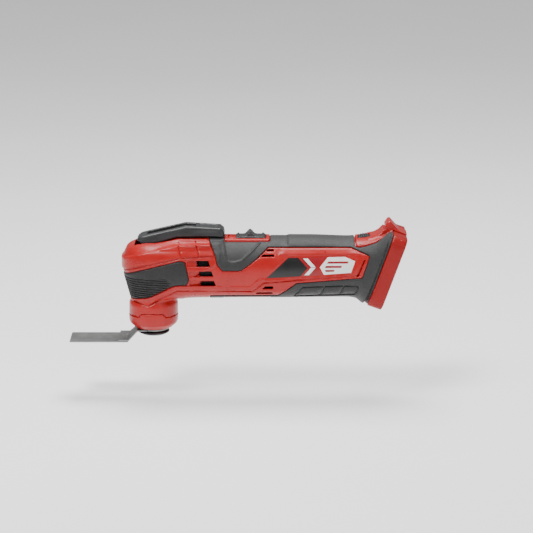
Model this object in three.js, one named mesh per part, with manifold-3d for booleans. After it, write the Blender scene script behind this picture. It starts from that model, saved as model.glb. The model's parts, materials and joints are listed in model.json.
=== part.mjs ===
// Cordless oscillating multi tool with a quick-release blade clamp, as an assembly of separate pieces.
// Millimetres, +Z up, +X towards the battery foot, the blade on the -X side.
// The origin is the centre of the clamp bolt's lower face, on the spindle axis.
import * as THREE from 'three';
import { mergeVertices } from 'three/addons/utils/BufferGeometryUtils.js';
import Module from 'manifold-3d';

const wasm = await Module();
wasm.setup();

// ---- Driving dimensions ---------------------------------------------------------------------
const GAP = 0.3; // clearance left between neighbouring pieces
const WALL = 2.8; // housing wall
const SKIN = 1.6; // depth of the recess that holds an overmould or a label
const MOTOR_Z = 65.5; // height of the motor shaft's axis
const BARREL_R = 29.3; // outer radius of the barrel
const HEAD_BOTTOM = 36; // underside of the housing's head
const COLLAR_R = 23.3; // outer radius of the head collar and of the housing's neck above it
const SEAM_Z = 20.4; // seam between the collar and the neck
const CASE_R = 18.6; // outer radius of the gear case
const LID_Z = 73.5; // top of the gear case
const SPINDLE_R = 8.7; // outer radius of the spindle tube
const HOLDER_R = 13; // outer radius of the tool holder
const FLANGE_R = 15; // outer radius of the clamp bolt's flange
const BLADE_TIP = -79.7; // cutting edge of the blade
const BLADE_HALF = 17; // half the blade's width
const BLADE_T = 1.1; // blade thickness
const LEVER_HALF = 12.5; // half the clamp lever's width
const PIN = { x: -4, z: 87, r: 2.4 }; // clamp lever's pin
const LEVER_TURN = 90; // how far the lever opens, in degrees
const PLUNGE = 2.4; // how far the cam pushes the release plunger
const CAM_BASE = 4.8; // the cam's reach below the pin with the lever closed
const FOOT_TILT = 20; // tilt of the battery foot's face from vertical, in degrees
const FOOT = { x: 227.7, z: 63.8, halfWidth: 34.5, halfHeight: 36.5, depth: 14 }; // battery foot
const DIAL = { x: 200.2, z: 88, r: 9, half: 7 }; // speed dial wheel
const ECCENTRIC = 0.85; // offset of the eccentric journal
const RING = 24; // points round each section of the barrel
const NOSE = 12; // steps round the head's nose

const rad = THREE.MathUtils.degToRad;

// ---- Solids ---------------------------------------------------------------------------------
function solid(geometry) {
  const bare = geometry.clone();
  bare.deleteAttribute('normal');
  bare.deleteAttribute('uv');
  const merged = mergeVertices(bare, 1e-4);
  const index = merged.index.array;
  const kept = [];
  for (let i = 0; i < index.length; i += 3) {
    const [a, b, c] = [index[i], index[i + 1], index[i + 2]];
    if (a !== b && b !== c && c !== a) kept.push(a, b, c);
  }
  const mesh = new wasm.Mesh({
    numProp: 3,
    vertProperties: new Float32Array(merged.attributes.position.array),
    triVerts: new Uint32Array(kept),
  });
  return new wasm.Manifold(mesh);
}

const join = (first, ...rest) => rest.reduce((sum, next) => sum.add(next), first);
const cut = (first, ...rest) => rest.reduce((left, next) => left.subtract(next), first);
const meet = (first, ...rest) => rest.reduce((common, next) => common.intersect(next), first);

function box(x0, x1, y0, y1, z0, z1) {
  const shape = new THREE.BoxGeometry(x1 - x0, y1 - y0, z1 - z0);
  return solid(shape.translate((x0 + x1) / 2, (y0 + y1) / 2, (z0 + z1) / 2));
}

function outline(points) {
  return new THREE.Shape(points.map(([u, v]) => new THREE.Vector2(u, v)));
}

// A side-view outline in x and z, extruded across from y0 to y1.
function across(points, y0, y1) {
  const shape = new THREE.ExtrudeGeometry(outline(points), { depth: y1 - y0, bevelEnabled: false });
  return solid(shape.rotateX(Math.PI / 2).translate(0, y1, 0));
}

// A plan outline in x and y, extruded up from z0 to z1.
function upright(points, z0, z1) {
  const shape = new THREE.ExtrudeGeometry(outline(points), { depth: z1 - z0, bevelEnabled: false });
  return solid(shape.translate(0, 0, z0));
}

function rodX(r, x0, x1, y, z, sides = 20) {
  const shape = new THREE.CylinderGeometry(r, r, x1 - x0, sides).rotateZ(-Math.PI / 2);
  return solid(shape.translate((x0 + x1) / 2, y, z));
}

function rodY(r, y0, y1, x, z, sides = 20) {
  const shape = new THREE.CylinderGeometry(r, r, y1 - y0, sides);
  return solid(shape.translate(x, (y0 + y1) / 2, z));
}

function rodZ(r, z0, z1, x = 0, y = 0, sides = 24) {
  const shape = new THREE.CylinderGeometry(r, r, z1 - z0, sides).rotateX(Math.PI / 2);
  return solid(shape.translate(x, y, (z0 + z1) / 2));
}

// A closed profile of [radius, height] points turned about the spindle axis.
function turned(profile, sides = 32) {
  const points = [...profile, profile[0]].map(([r, z]) => new THREE.Vector2(r, z));
  return solid(new THREE.LatheGeometry(points, sides).rotateX(Math.PI / 2));
}

// A closed profile of [radius, x] points turned about the motor axis.
function turnedX(profile, sides = 28) {
  const points = [...profile, profile[0]].map(([r, x]) => new THREE.Vector2(r, x));
  const shape = new THREE.LatheGeometry(points, sides).rotateZ(-Math.PI / 2);
  return solid(shape.translate(0, 0, MOTOR_Z));
}

function ringZ(inner, outer, z0, z1, sides = 28) {
  return turned([[inner, z0], [outer, z0], [outer, z1], [inner, z1]], sides);
}

function ringX(inner, outer, x0, x1, sides = 28) {
  return turnedX([[inner, x0], [outer, x0], [outer, x1], [inner, x1]], sides);
}

// Rings of equal point counts skinned into one closed body.
function loft(rings) {
  const count = rings[0].length;
  const positions = rings.flat().flatMap((p) => [p.x, p.y, p.z]);
  const index = [];
  for (let i = 0; i < rings.length - 1; i += 1) {
    for (let j = 0; j < count; j += 1) {
      const a = i * count + j;
      const b = i * count + ((j + 1) % count);
      index.push(a, b, a + count, b, b + count, a + count);
    }
  }
  const last = (rings.length - 1) * count;
  for (let j = 1; j < count - 1; j += 1) {
    index.push(0, j + 1, j, last, last + j, last + j + 1);
  }
  const shape = new THREE.BufferGeometry();
  shape.setAttribute('position', new THREE.Float32BufferAttribute(positions, 3));
  shape.setIndex(index);
  return solid(shape);
}

// Places a geometry drawn in the foot's own axes: x out of its face, z up along the face.
function onFoot(geometry) {
  return solid(geometry.rotateY(rad(FOOT_TILT)).translate(FOOT.x, 0, FOOT.z));
}

function footBox(x0, x1, y0, y1, z0, z1) {
  const shape = new THREE.BoxGeometry(x1 - x0, y1 - y0, z1 - z0);
  return onFoot(shape.translate((x0 + x1) / 2, (y0 + y1) / 2, (z0 + z1) / 2));
}

// ---- Body form ------------------------------------------------------------------------------
// Barrel stations: centre x and z, half height, half width, squareness and tilt in degrees.
const STATIONS = [
  [3, 63.5, 25.5, 27.5, 2.6, 0],
  [12, 64.6, 28.6, 28.6, 2.5, 0],
  [26, 65.8, 30.2, 29, 2.35, 0],
  [45, 65.9, 29.6, 29, 2.2, 0],
  [110, 65.9, BARREL_R, 28.8, 2.15, 0],
  [150, 66, 29, 28.6, 2.15, 0],
  [184, 66.1, 28.7, 28.3, 2.2, 0],
  [194, 66, 29.2, 28.9, 2.5, 5],
  [203, 65.8, 31, 30.2, 3, 11],
  [210, 65.9, 33.4, 32, 3.6, 16],
  [FOOT.x - (FOOT.depth + GAP) * Math.cos(rad(FOOT_TILT)), 68.7, 36, 34, 6, FOOT_TILT],
];

function squircle(angle, half, n) {
  const [c, s] = [Math.cos(angle), Math.sin(angle)];
  const soft = (v) => Math.sign(v) * Math.abs(v) ** (2 / n);
  return [half[0] * soft(c), half[1] * soft(s)];
}

function barrelRing([x, z, high, wide, n, tilt], inset) {
  const ring = [];
  for (let i = 0; i < RING; i += 1) {
    const [y, u] = squircle((i * 2 * Math.PI) / RING, [wide - inset, high - inset], n);
    ring.push(new THREE.Vector3(x + u * Math.sin(rad(tilt)), y, z + u * Math.cos(rad(tilt))));
  }
  return ring;
}

// Head levels: height, nose reach ahead of the spindle, half width and where the level ends.
const LEVELS = [
  [HEAD_BOTTOM, 21.2, 21.5, 22],
  [44, 23.4, 25.4, 30],
  [52, 25.6, 27.8, 37],
  [62, 28.2, 28.8, 40],
  [67, 29.6, 29.2, 40],
  [77, 29.8, 29.2, 40],
  [83, 27.2, 28.2, 40],
  [87, 23.8, 26.4, 40],
  [90, 18.5, 23, 40],
  [91.5, 14, 20, 40],
];

function headRing([z, reach, half, end], inset, depth) {
  const ring = [new THREE.Vector3(end, half - inset, z + depth)];
  for (let i = 0; i <= NOSE; i += 1) {
    const angle = Math.PI / 2 + (i * Math.PI) / NOSE;
    ring.push(new THREE.Vector3(
      (reach - inset) * Math.cos(angle), (half - inset) * Math.sin(angle), z + depth));
  }
  ring.push(new THREE.Vector3(end, inset - half, z + depth));
  return ring;
}

// Round neck under the head, above the collar.
function neck(inset) {
  return turned([
    [0, SEAM_Z + inset], [COLLAR_R - inset, SEAM_Z + inset], [COLLAR_R - inset, 31.6],
    [21.4 - inset, HEAD_BOTTOM], [21.4 - inset, 44], [0, 44],
  ], 36);
}

// The whole casing's outer form, drawn in by inset all round, or grown when inset is negative.
function casing(inset) {
  const rings = STATIONS.map(([x, z, ...rest], i) => {
    const front = i === 0 ? inset : 0;
    const rear = i === STATIONS.length - 1 ? Math.max(0, inset) : 0; // cutters reach past the end
    const [dx, dz] = [front + rear * Math.cos(rad(FOOT_TILT)), -rear * Math.sin(rad(FOOT_TILT))];
    return barrelRing([x + dx, z + dz, ...rest], inset);
  });
  const top = LEVELS.length - 1;
  const levels = LEVELS.map((level, i) => {
    const depth = i === 0 ? inset : (i / top) * -inset;
    return headRing(level, inset, depth);
  });
  return join(loft(rings), loft(levels), neck(inset));
}

const outer = casing(0);
const inner = casing(WALL);
const beneathSkin = casing(SKIN);
const skinBack = casing(SKIN - GAP);

// ---- Overmould, bumper and label outlines, seen from the side -----------------------------------
const BUMPER_EDGE = [
  [-40, 61], [-27.7, 61.2], [-14, 67.5], [25, 77], [31, 75.8], [34.2, 59], [32.2, 54.5],
  [21, 54], [16, 52], [-1, 43], [-4, 42], [-6, 30], [-40, 30],
];
const GRIP_EDGE = [
  [52, 125], [52, 93.8], [59.7, 82], [61.8, 73.6], [66.4, 68.3], [82.7, 68.3], [88.3, 71.8],
  [98, 79.2], [109, 89], [187, 89], [203.6, 83], [205, 81], [203.5, 77], [199, 63.3],
  [197.4, 60.3], [167, 57.5], [136, 55], [120.6, 42.8], [117, 10], [290, 10], [290, 125],
];
const LABEL_EDGE = [
  [109, 61.6], [128, 80.6], [184, 81.6], [192.6, 77.6], [188.5, 65.6], [150, 63], [118, 60.8],
];

// The outline moved inwards by a distance; the points run anticlockwise.
function shrink(points, distance) {
  return points.map((point, i) => {
    const before = points[(i + points.length - 1) % points.length];
    const after = points[(i + 1) % points.length];
    const edge = (p, q) => new THREE.Vector2(q[0] - p[0], q[1] - p[1]).normalize();
    const [e1, e2] = [edge(before, point), edge(point, after)];
    const normal = new THREE.Vector2(-e1.y - e2.y, e1.x + e2.x).normalize();
    const reach = distance / Math.max(0.35, normal.x * -e1.y + normal.y * e1.x);
    return [point[0] + normal.x * reach, point[1] + normal.y * reach];
  });
}

function turnArea(points) {
  return points.reduce((sum, [x, z], i) => {
    const [nx, nz] = points[(i + 1) % points.length];
    return sum + x * nz - nx * z;
  }, 0);
}

const wound = (points) => (turnArea(points) > 0 ? points : [...points].reverse());
const wide = 60; // more than the body's half width
const zone = (points, inset) => across(shrink(wound(points), inset), -wide, wide);

// ---- Switch, lever and dial openings ----------------------------------------------------------
const SLIDER = { x0: 78.6, x1: 106.6, half: 8.5, travel: 7 };
const sliderBay = box(71, 107.2, -9.2, 9.2, 93.4, 120);
const sliderFrame = box(67.5, 111, -12.6, 12.6, 88, 120);
const stemSlot = box(84.2, 98.6, -3.1, 3.1, 80, 120);

const LEVER_SIDE = [
  [-14.8, 92.8], [-9.4, 90.3], [0.3, 90], [8, 91.5], [22.4, 96.1], [66, 96.1], [68.3, 97.2],
  [67.1, 102.3], [64, 105], [31, 107], [-3.4, 99], [-11.2, 97.7], [-14.6, 94.6],
];
const leverBay = join(
  across([...shrink(wound(LEVER_SIDE), -0.6).slice(0, 6), [70, 130], [-30, 130]],
    -LEVER_HALF - 0.6, LEVER_HALF + 0.6),
  rodY(13.4, -LEVER_HALF - 0.6, LEVER_HALF + 0.6, PIN.x, PIN.z, 32),
);
const dialBay = rodY(DIAL.r + 0.8, -DIAL.half - 0.8, DIAL.half + 0.8, DIAL.x, DIAL.z, 28);

// ---- Housing halves -----------------------------------------------------------------------------
const SCREWS = [[-22.4, 72], [50, 41.6], [134, 42.5], [135, 80], [188, 46], [184, 84]];
const LOUVRES = [[46, 74.8], [49, 65], [51.4, 55.6]];
const VENTS = [[106, 113.5, 85.6, 86.8], [102.5, 113.5, 50, 51.5]];

const capPlan = [[191.5, -20], [212, -20], [222, -12], [245, -12], [245, 12], [222, 12], [212, 20],
  [191.5, 20]];
const capZone = upright(capPlan, 84, 130);
const capLug = [
  [206, 80], [206, 96.4], [209.4, 97.4], [214, 100.4], [218, 104.8], [220.6, 109], [222.3, 111.8],
  [225, 112], [234.4, 102], [239.9, 96.9], [236, 84],
];

const overmould = cut(zone(GRIP_EDGE, 0), sliderFrame, capZone);
const recesses = cut(join(zone(BUMPER_EDGE, 0), overmould, zone(LABEL_EDGE, 0), capZone), beneathSkin);

function vents() {
  const slots = LOUVRES.map(([x, z]) => across(
    [[x, z - 2.4], [x + 8.2, z - 2.4], [x + 7, z + 2.4], [x - 2.4, z + 2.4]], -wide, wide));
  const slits = VENTS.map(([x0, x1, z0, z1]) => box(x0, x1, -wide, wide, z0, z1));
  return cut(join(...slots, ...slits), box(0, 150, -19, 19, 0, 120));
}

function screwBore(x, z) {
  return join(rodY(1.9, -20, 14, x, z, 10), rodY(3.7, 7, wide, x, z, 12));
}

function bosses(side) {
  const posts = SCREWS.map(([x, z]) => (side > 0
    ? rodY(4.6, 0.2, 28, x, z, 10)
    : rodY(3.4, -28, -0.2, x, z, 10)));
  return cut(meet(join(...posts), casing(WALL - 0.6)), rodZ(CASE_R + 0.4, 0, 80, 0, 0, 32));
}

const shell = cut(outer, inner, recesses, sliderBay, stemSlot, leverBay, dialBay, vents(),
  rodZ(CASE_R + 0.6, 0, 50, 0, 0, 32));
const half = (side) => (side > 0 ? box(-60, 300, 0.15, 80, -20, 140) : box(-60, 300, -80, -0.15, -20, 140));
const screwBores = join(...SCREWS.map(([x, z]) => screwBore(x, z)));
const pinBore = rodY(PIN.r + GAP, -16.3, 16.3, PIN.x, PIN.z, 20);
const pinSeats = meet(join(
  rodY(4.6, LEVER_HALF + 0.7, 20, PIN.x, PIN.z, 20),
  rodY(4.6, -20, -LEVER_HALF - 0.7, PIN.x, PIN.z, 20),
), outer);

function housing(side) {
  const body = join(meet(shell, half(side)), cut(bosses(side), dialBay), meet(pinSeats, half(side)));
  return cut(body, screwBores, pinBore);
}

// ---- The group of named pieces ------------------------------------------------------------------
const group = new THREE.Group();

const LOOKS = {
  redPlastic: { color: 0xb3201f, roughness: 0.5, metalness: 0 },
  darkPlastic: { color: 0x3a3b3d, roughness: 0.6, metalness: 0 },
  rubber: { color: 0x2b2c2e, roughness: 0.8, metalness: 0 },
  steel: { color: 0x9a9c9e, roughness: 0.35, metalness: 1 },
  darkSteel: { color: 0x3f4144, roughness: 0.45, metalness: 1 },
  aluminium: { color: 0xb8babd, roughness: 0.4, metalness: 1 },
  copper: { color: 0xb87333, roughness: 0.4, metalness: 1 },
  board: { color: 0x1f5a34, roughness: 0.5, metalness: 0 },
  label: { color: 0xd9d9d6, roughness: 0.4, metalness: 0 },
};

// The largest separate body of a solid, without the slivers that a cut can leave.
function largest(body) {
  return body.decompose().sort((a, b) => b.volume() - a.volume())[0];
}

function add(name, body, look) {
  const { vertProperties, triVerts, numProp } = largest(body).getMesh();
  const shape = new THREE.BufferGeometry();
  const flat = new Float32Array((vertProperties.length / numProp) * 3);
  for (let i = 0; i < flat.length / 3; i += 1) {
    flat.set(vertProperties.subarray(i * numProp, i * numProp + 3), i * 3);
  }
  shape.setAttribute('position', new THREE.BufferAttribute(flat, 3));
  shape.setIndex(new THREE.BufferAttribute(new Uint32Array(triVerts), 1));
  shape.computeVertexNormals();
  const mesh = new THREE.Mesh(shape, new THREE.MeshStandardMaterial(LOOKS[look]));
  mesh.name = name;
  group.add(mesh);
}

// ---- Casing pieces ------------------------------------------------------------------------------
function addCasing() {
  const gripSkin = cut(
    meet(cut(casing(-0.4), skinBack), zone(GRIP_EDGE, GAP)),
    box(67.2, 111.3, -12.9, 12.9, 88, 120), upright(shrink(wound(capPlan), -GAP), 83.7, 130),
    leverBay, screwBores);
  const labelSkin = meet(cut(outer, skinBack), zone(LABEL_EDGE, GAP));
  for (const [side, word] of [[-1, 'left'], [1, 'right']]) {
    add(`housing_${word}`, housing(side), 'redPlastic');
    add(`grip_${word}`, meet(gripSkin, half(side)), 'rubber');
    add(`label_${word}`, meet(labelSkin, half(side)), 'label');
  }
  const bumperSkin = meet(cut(casing(-1.2), skinBack), zone(BUMPER_EDGE, GAP));
  add('front_bumper', cut(bumperSkin, rodZ(CASE_R + 0.9, 0, 50, 0, 0, 32), box(-60, 60, -60, 60, 0, 36)),
    'rubber');
}

function addCollar() {
  add('head_collar', turned([
    [14, 9.3], [18, 9.3], [22.2, 12.2], [COLLAR_R, 14.2], [COLLAR_R, SEAM_Z - GAP],
    [CASE_R + 0.6, SEAM_Z - GAP], [CASE_R + 0.6, 15.2], [14, 15.2],
  ], 36), 'redPlastic');
}

function addRearCap() {
  const lug = cut(across(capLug, -11, 11), casing(-0.5), footBlock(2 * GAP));
  const saddle = meet(cut(casing(-0.8), skinBack), upright(shrink(wound(capPlan), GAP), 84.3, 130));
  add('rear_cap', cut(join(lug, saddle), dialBay, footBlock(2 * GAP)), 'redPlastic');
}

// ---- Battery foot -------------------------------------------------------------------------------
function footBlock(grow) {
  const rings = [-FOOT.depth, -FOOT.depth + 1, -1.6, 0].map((x, i) => {
    const tuck = i === 3 ? 1.2 : 0;
    const ring = [];
    for (let k = 0; k < 36; k += 1) {
      const size = [FOOT.halfWidth + grow - tuck, FOOT.halfHeight + grow - tuck];
      const [y, z] = squircle((k * 2 * Math.PI) / 36, size, 8);
      const out = i === 0 ? x - grow : x + grow;
      ring.push(new THREE.Vector3(out, y, z));
    }
    return ring;
  });
  const turn = new THREE.Matrix4().makeRotationY(rad(FOOT_TILT)).setPosition(FOOT.x, 0, FOOT.z);
  return loft(rings.map((ring) => ring.map((p) => p.applyMatrix4(turn))));
}

const DOCK = { half: 27, floor: -11, top: 27, railInner: 23, railBack: -4.6 };
const BLOCK = { half: 12, low: 1, high: 23, out: -3 };

function addBatteryFoot() {
  const dock = footBox(DOCK.floor, 10, -DOCK.half, DOCK.half, -60, DOCK.top);
  const rails = [-1, 1].map((side) => {
    const [y0, y1] = side > 0 ? [DOCK.railInner, DOCK.half + 1] : [-DOCK.half - 1, -DOCK.railInner];
    return footBox(DOCK.railBack, -1, y0, y1, -32, DOCK.top + 1);
  });
  const passage = footBox(-30, -5, -7, 7, 8, 16);
  add('battery_shoe', cut(join(cut(footBlock(0), dock), ...rails), passage), 'redPlastic');

  const slots = [-8, 0, 8].map((y) => footBox(-8.5, 5, y - 1.5, y + 1.5, BLOCK.low - 5, BLOCK.high - 4));
  const body = footBox(DOCK.floor + GAP, BLOCK.out, -BLOCK.half, BLOCK.half, BLOCK.low, BLOCK.high);
  add('terminal_block', cut(body, ...slots), 'darkPlastic');
  [-8, 0, 8].forEach((y, i) => {
    add(`terminal_${i + 1}`, footBox(-8.1, -4, y - 0.5, y + 0.5, BLOCK.low + 1, BLOCK.high - 4.5), 'copper');
  });
}

// ---- Blade clamp --------------------------------------------------------------------------------
// Support distance of the cam in the direction that the lever's turn brings to face down.
function camReach(turn) {
  const rise = PLUNGE / rad(LEVER_TURN);
  const [from, to] = [rad(-15), rad(LEVER_TURN + 15)];
  if (turn <= to) return [CAM_BASE + rise * turn, rise];
  const span = 2 * Math.PI + from - to;
  const t = (turn - to) / span;
  const [h0, h1] = [CAM_BASE + rise * to, CAM_BASE + rise * from];
  const [m0, m1] = [rise * span, rise * span];
  const value = h0 * (2 * t ** 3 - 3 * t ** 2 + 1) + m0 * (t ** 3 - 2 * t ** 2 + t)
    + h1 * (3 * t ** 2 - 2 * t ** 3) + m1 * (t ** 3 - t ** 2);
  const slope = (h0 * (6 * t ** 2 - 6 * t) + m0 * (3 * t ** 2 - 4 * t + 1)
    + h1 * (6 * t - 6 * t ** 2) + m1 * (3 * t ** 2 - 2 * t)) / span;
  return [value, slope];
}

function camOutline() {
  const points = [];
  for (let i = 0; i < 40; i += 1) {
    const turn = rad(-15) + (i * 2 * Math.PI) / 40;
    const [h, slope] = camReach(turn);
    points.push([
      PIN.x - h * Math.sin(turn) - slope * Math.cos(turn),
      PIN.z - h * Math.cos(turn) + slope * Math.sin(turn),
    ]);
  }
  return points;
}

function addLever() {
  const bore = rodY(PIN.r + GAP, -20, 20, PIN.x, PIN.z, 20);
  const camSlot = join(
    across([[-20, 80], [9, 80], [9, 120], [-20, 120]], -4.3, 4.3),
    across([[8, 97.5], [41, 97.5], [41, 120], [8, 120]], -6.2, 6.2),
  );
  const hub = join(
    rodY(5.2, 0.3 - LEVER_HALF, LEVER_HALF - 0.3, PIN.x, PIN.z, 28),
    across([[-9.2, PIN.z], [1.2, PIN.z], [1.2, 92], [-9.2, 92]], 0.3 - LEVER_HALF, LEVER_HALF - 0.3),
  );
  const grip = across(wound(LEVER_SIDE), -LEVER_HALF, LEVER_HALF);
  add('lever', cut(join(grip, hub), camSlot, bore), 'darkPlastic');
  add('lever_cam', cut(across(wound(camOutline()), -4, 4), bore), 'steel');
  add('lever_pin', rodY(PIN.r, -16, 16, PIN.x, PIN.z, 20), 'steel');
}

function coil(radius, wire, z0, z1, turns) {
  const points = [];
  for (let i = 0; i <= turns * 12; i += 1) {
    const angle = (i * Math.PI) / 6;
    const z = z0 + wire + ((z1 - z0 - 2 * wire) * i) / (turns * 12);
    points.push(new THREE.Vector3(radius * Math.cos(angle), radius * Math.sin(angle), z));
  }
  const section = new THREE.Shape().absarc(0, 0, wire, 0, 2 * Math.PI);
  const path = new THREE.CatmullRomCurve3(points);
  return solid(new THREE.ExtrudeGeometry(section, {
    steps: turns * 12, extrudePath: path, curveSegments: 3, bevelEnabled: false,
  }));
}

function addPlunger() {
  const top = PIN.z - CAM_BASE - GAP;
  const rod = rodZ(3.2, 53.6, top - 1, 0, 0, 20);
  add('release_plunger', join(rod, box(-8, 4, -4, 4, top - 2, top)), 'steel');
  add('plunger_spring', coil(5.2, 0.5, LID_Z + GAP, top - 2.2, 2), 'darkSteel');
}

// ---- Spindle and its bearings ---------------------------------------------------------------------
const PEGS = 8;
function pegs(r, z0, z1) {
  return Array.from({ length: PEGS }, (_, i) => {
    const angle = ((i + 0.5) * 2 * Math.PI) / PEGS;
    return rodZ(r, z0, z1, 9.2 * Math.cos(angle), 9.2 * Math.sin(angle), 10);
  });
}

function addSpindle() {
  add('spindle', turned([
    [5, 12.3], [SPINDLE_R, 12.3], [SPINDLE_R, 70], [4.2, 70], [4.2, 51], [6.7, 50], [6.7, 37], [5, 36],
  ]), 'steel');
  const holder = turned([[5, 6.5], [HOLDER_R, 6.5], [HOLDER_R, 10.5], [11.6, 12], [5, 12]]);
  add('tool_holder', join(holder, ...pegs(0.9, 5.3, 7)), 'steel');
  const slit = box(0, 10, -0.8, 0.8, 30, 60);
  add('clamp_collet', cut(ringZ(4.8, 6.3, 38, 48, 20), slit), 'darkSteel');
  const hub = ringZ(SPINDLE_R + GAP, 12.6, 45, 55);
  const arm = cut(box(6, 34.2, -13.6, 13.6, 45, 54.6), rodZ(SPINDLE_R + 1, 40, 60));
  const tines = [-1, 1].map((side) => {
    const [y0, y1] = side > 0 ? [10.1, 13.6] : [-13.6, -10.1];
    return box(25, 34.2, y0, y1, 54, 73.4);
  });
  add('swing_fork', cut(join(hub, meet(arm, rodZ(36, 40, 60, 0, 0, 48)), ...tines),
    rodZ(SPINDLE_R + GAP, 40, 60)), 'steel');
  add('spindle_seal', ringZ(SPINDLE_R + GAP, 13.6, 12.6, 14.9), 'rubber');
  add('lower_bearing', ringZ(SPINDLE_R + GAP, 15.7, 17, 27), 'steel');
  add('upper_bearing', ringZ(SPINDLE_R + GAP, 15.7, 59.5, 69.5), 'steel');
}

function addGearCase() {
  const body = turned([
    [16, 15.6], [CASE_R, 15.6], [CASE_R, LID_Z], [3.9, LID_Z], [3.9, LID_Z - 2], [16, LID_Z - 2],
  ]);
  add('gear_case', cut(body, box(4, 30, -16, 16, 43.4, 56.4)), 'aluminium');
}

function addClampBolt() {
  add('clamp_bolt', turned([
    [0, 0], [11.4, 0], [14.4, 1.9], [FLANGE_R, 2.6], [FLANGE_R, 3.5], [13.4, 4.6], [4.4, 4.6],
    [4.4, 39.6], [2.9, 40.6], [2.9, 43.4], [4.2, 44.4], [4.2, 48.6], [3, 49.8], [0, 49.8],
  ], 30), 'darkSteel');
}

// ---- Blade ----------------------------------------------------------------------------------------
const HUB_Z = 5; // underside of the blade's hub plate
const LAP_Z = -3.2; // underside of the arbor where it lies on the blade

function addBlade() {
  const drop = HUB_Z - LAP_Z;
  const bendHigh = -15.2;
  const bendLow = bendHigh - drop;
  const t = 1.2;
  const side = [
    [14, HUB_Z], [bendHigh, HUB_Z], [bendLow, LAP_Z], [-33, LAP_Z], [-33, LAP_Z + t],
    [bendLow - 0.5, LAP_Z + t], [bendHigh - 0.5, HUB_Z + t], [14, HUB_Z + t],
  ];
  const plan = [[-33, -18], [-23, -18], [-14.6, -13.7], [0, -13.4]];
  for (let i = 1; i < 12; i += 1) {
    const angle = -Math.PI / 2 + (i * Math.PI) / 12;
    plan.push([13.4 * Math.cos(angle), 13.4 * Math.sin(angle)]);
  }
  plan.push([0, 13.4], [-14.6, 13.7], [-23, 18], [-33, 18]);
  const arbor = cut(meet(across(wound(side), -30, 30), upright(plan, -10, 10)),
    rodZ(5.2, -5, 10), ...pegs(1.3, 0, 10));
  add('blade_arbor', arbor, 'steel');

  const top = LAP_Z - GAP;
  const teeth = [];
  const pitch = 1.7;
  const count = Math.round((2 * BLADE_HALF) / pitch);
  for (let i = 0; i < count; i += 1) {
    const y = -BLADE_HALF + i * pitch;
    teeth.push([BLADE_TIP + 1.1, y], [BLADE_TIP, y + pitch / 2]);
  }
  const blade = upright([[-24, -BLADE_HALF], [-24, BLADE_HALF], [BLADE_TIP + 1.1, BLADE_HALF],
    ...teeth.reverse()], top - BLADE_T, top);
  add('blade_plate', blade, 'steel');
}

// ---- Motor ----------------------------------------------------------------------------------------
function addMotor() {
  const canR = 22.3;
  add('motor_can', ringX(20.4, canR, 62, 122, 36), 'darkSteel');
  add('motor_front_cap', ringX(3.8, canR, 58, 61.7, 32), 'aluminium');
  add('motor_rear_cap', turnedX([
    [3.8, 122.3], [canR, 122.3], [canR, 124.6], [9.6, 124.6], [9.6, 130], [8.2, 130], [8.2, 124.8],
    [3.8, 124.8],
  ], 32), 'aluminium');
  add('rear_bearing', ringX(3.6, 7.9, 125.1, 129.6), 'steel');
  const slot = (i) => {
    const angle = (i * 2 * Math.PI) / 9;
    const shape = new THREE.BoxGeometry(60, 2.2, 7).translate(86, 0, 16);
    return solid(shape.rotateX(angle).translate(0, 0, MOTOR_Z));
  };
  add('rotor', cut(ringX(3.6, 17.4, 68, 104, 36), ...Array.from({ length: 9 }, (_, i) => slot(i))), 'steel');
  add('commutator', ringX(3.6, 8, 107, 117, 24), 'copper');
  add('brush_left', box(109, 116, -16, -8.6, MOTOR_Z - 3, MOTOR_Z + 3), 'darkSteel');
  add('brush_right', box(109, 116, 8.6, 16, MOTOR_Z - 3, MOTOR_Z + 3), 'darkSteel');

  const journal = rodX(3.4, 24.6, 35, 0, MOTOR_Z + ECCENTRIC, 20);
  add('motor_shaft', join(rodX(3.3, 34, 129.4, 0, MOTOR_Z, 20), journal), 'steel');
  add('eccentric_bearing', cut(rodX(8, 25.4, 33.6, 0, MOTOR_Z + ECCENTRIC, 28),
    rodX(3.7, 20, 40, 0, MOTOR_Z + ECCENTRIC, 20)), 'steel');
  add('bearing_plate', cut(ringX(9.3, 24, 37, 42.6, 36), stemSlot), 'aluminium');
  add('front_bearing', ringX(3.6, 9, 37.4, 42.2), 'steel');
}

function addFan() {
  const blades = Array.from({ length: 9 }, (_, i) => {
    const shape = new THREE.BoxGeometry(6.6, 1.2, 12.5).translate(49.7, 0, 12.8);
    return solid(shape.rotateX((i * 2 * Math.PI) / 9).translate(0, 0, MOTOR_Z));
  });
  add('cooling_fan', join(ringX(3.6, 7.6, 45, 55, 20), ringX(5, 19.6, 45, 46.6, 36), ...blades),
    'darkPlastic');
}

// ---- Switch, dial and electronics --------------------------------------------------------------------
function addSwitch() {
  const ridge = [
    [SLIDER.x0, 93.7], [SLIDER.x1, 93.7], [SLIDER.x1, 96], [101.5, 96.3], [96.5, 98.2], [92.4, 101],
    [91.6, 101], [87.5, 98.2], [83, 96.3], [SLIDER.x0, 96],
  ];
  const stem = box(92, 98, -2.7, 2.7, 91.2, 94);
  add('switch_slider', join(across(ridge, -SLIDER.half, SLIDER.half), stem), 'darkPlastic');
  add('switch_link', join(box(90, 149.6, -3.2, 3.2, 89, 90.8), box(146.4, 149.6, -3.2, 3.2, 80, 89.4)),
    'darkPlastic');
  add('switch_body', box(150.2, 171, -8, 8, 74, 87), 'darkPlastic');
}

function addDial() {
  const points = [];
  const ribs = 24;
  for (let i = 0; i < ribs * 2; i += 1) {
    const r = i % 2 === 0 ? DIAL.r : DIAL.r - 0.7;
    const angle = (i * Math.PI) / ribs;
    points.push([DIAL.x + r * Math.cos(angle), DIAL.z + r * Math.sin(angle)]);
  }
  add('speed_dial', across(points, -DIAL.half, DIAL.half), 'darkPlastic');
}

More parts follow.
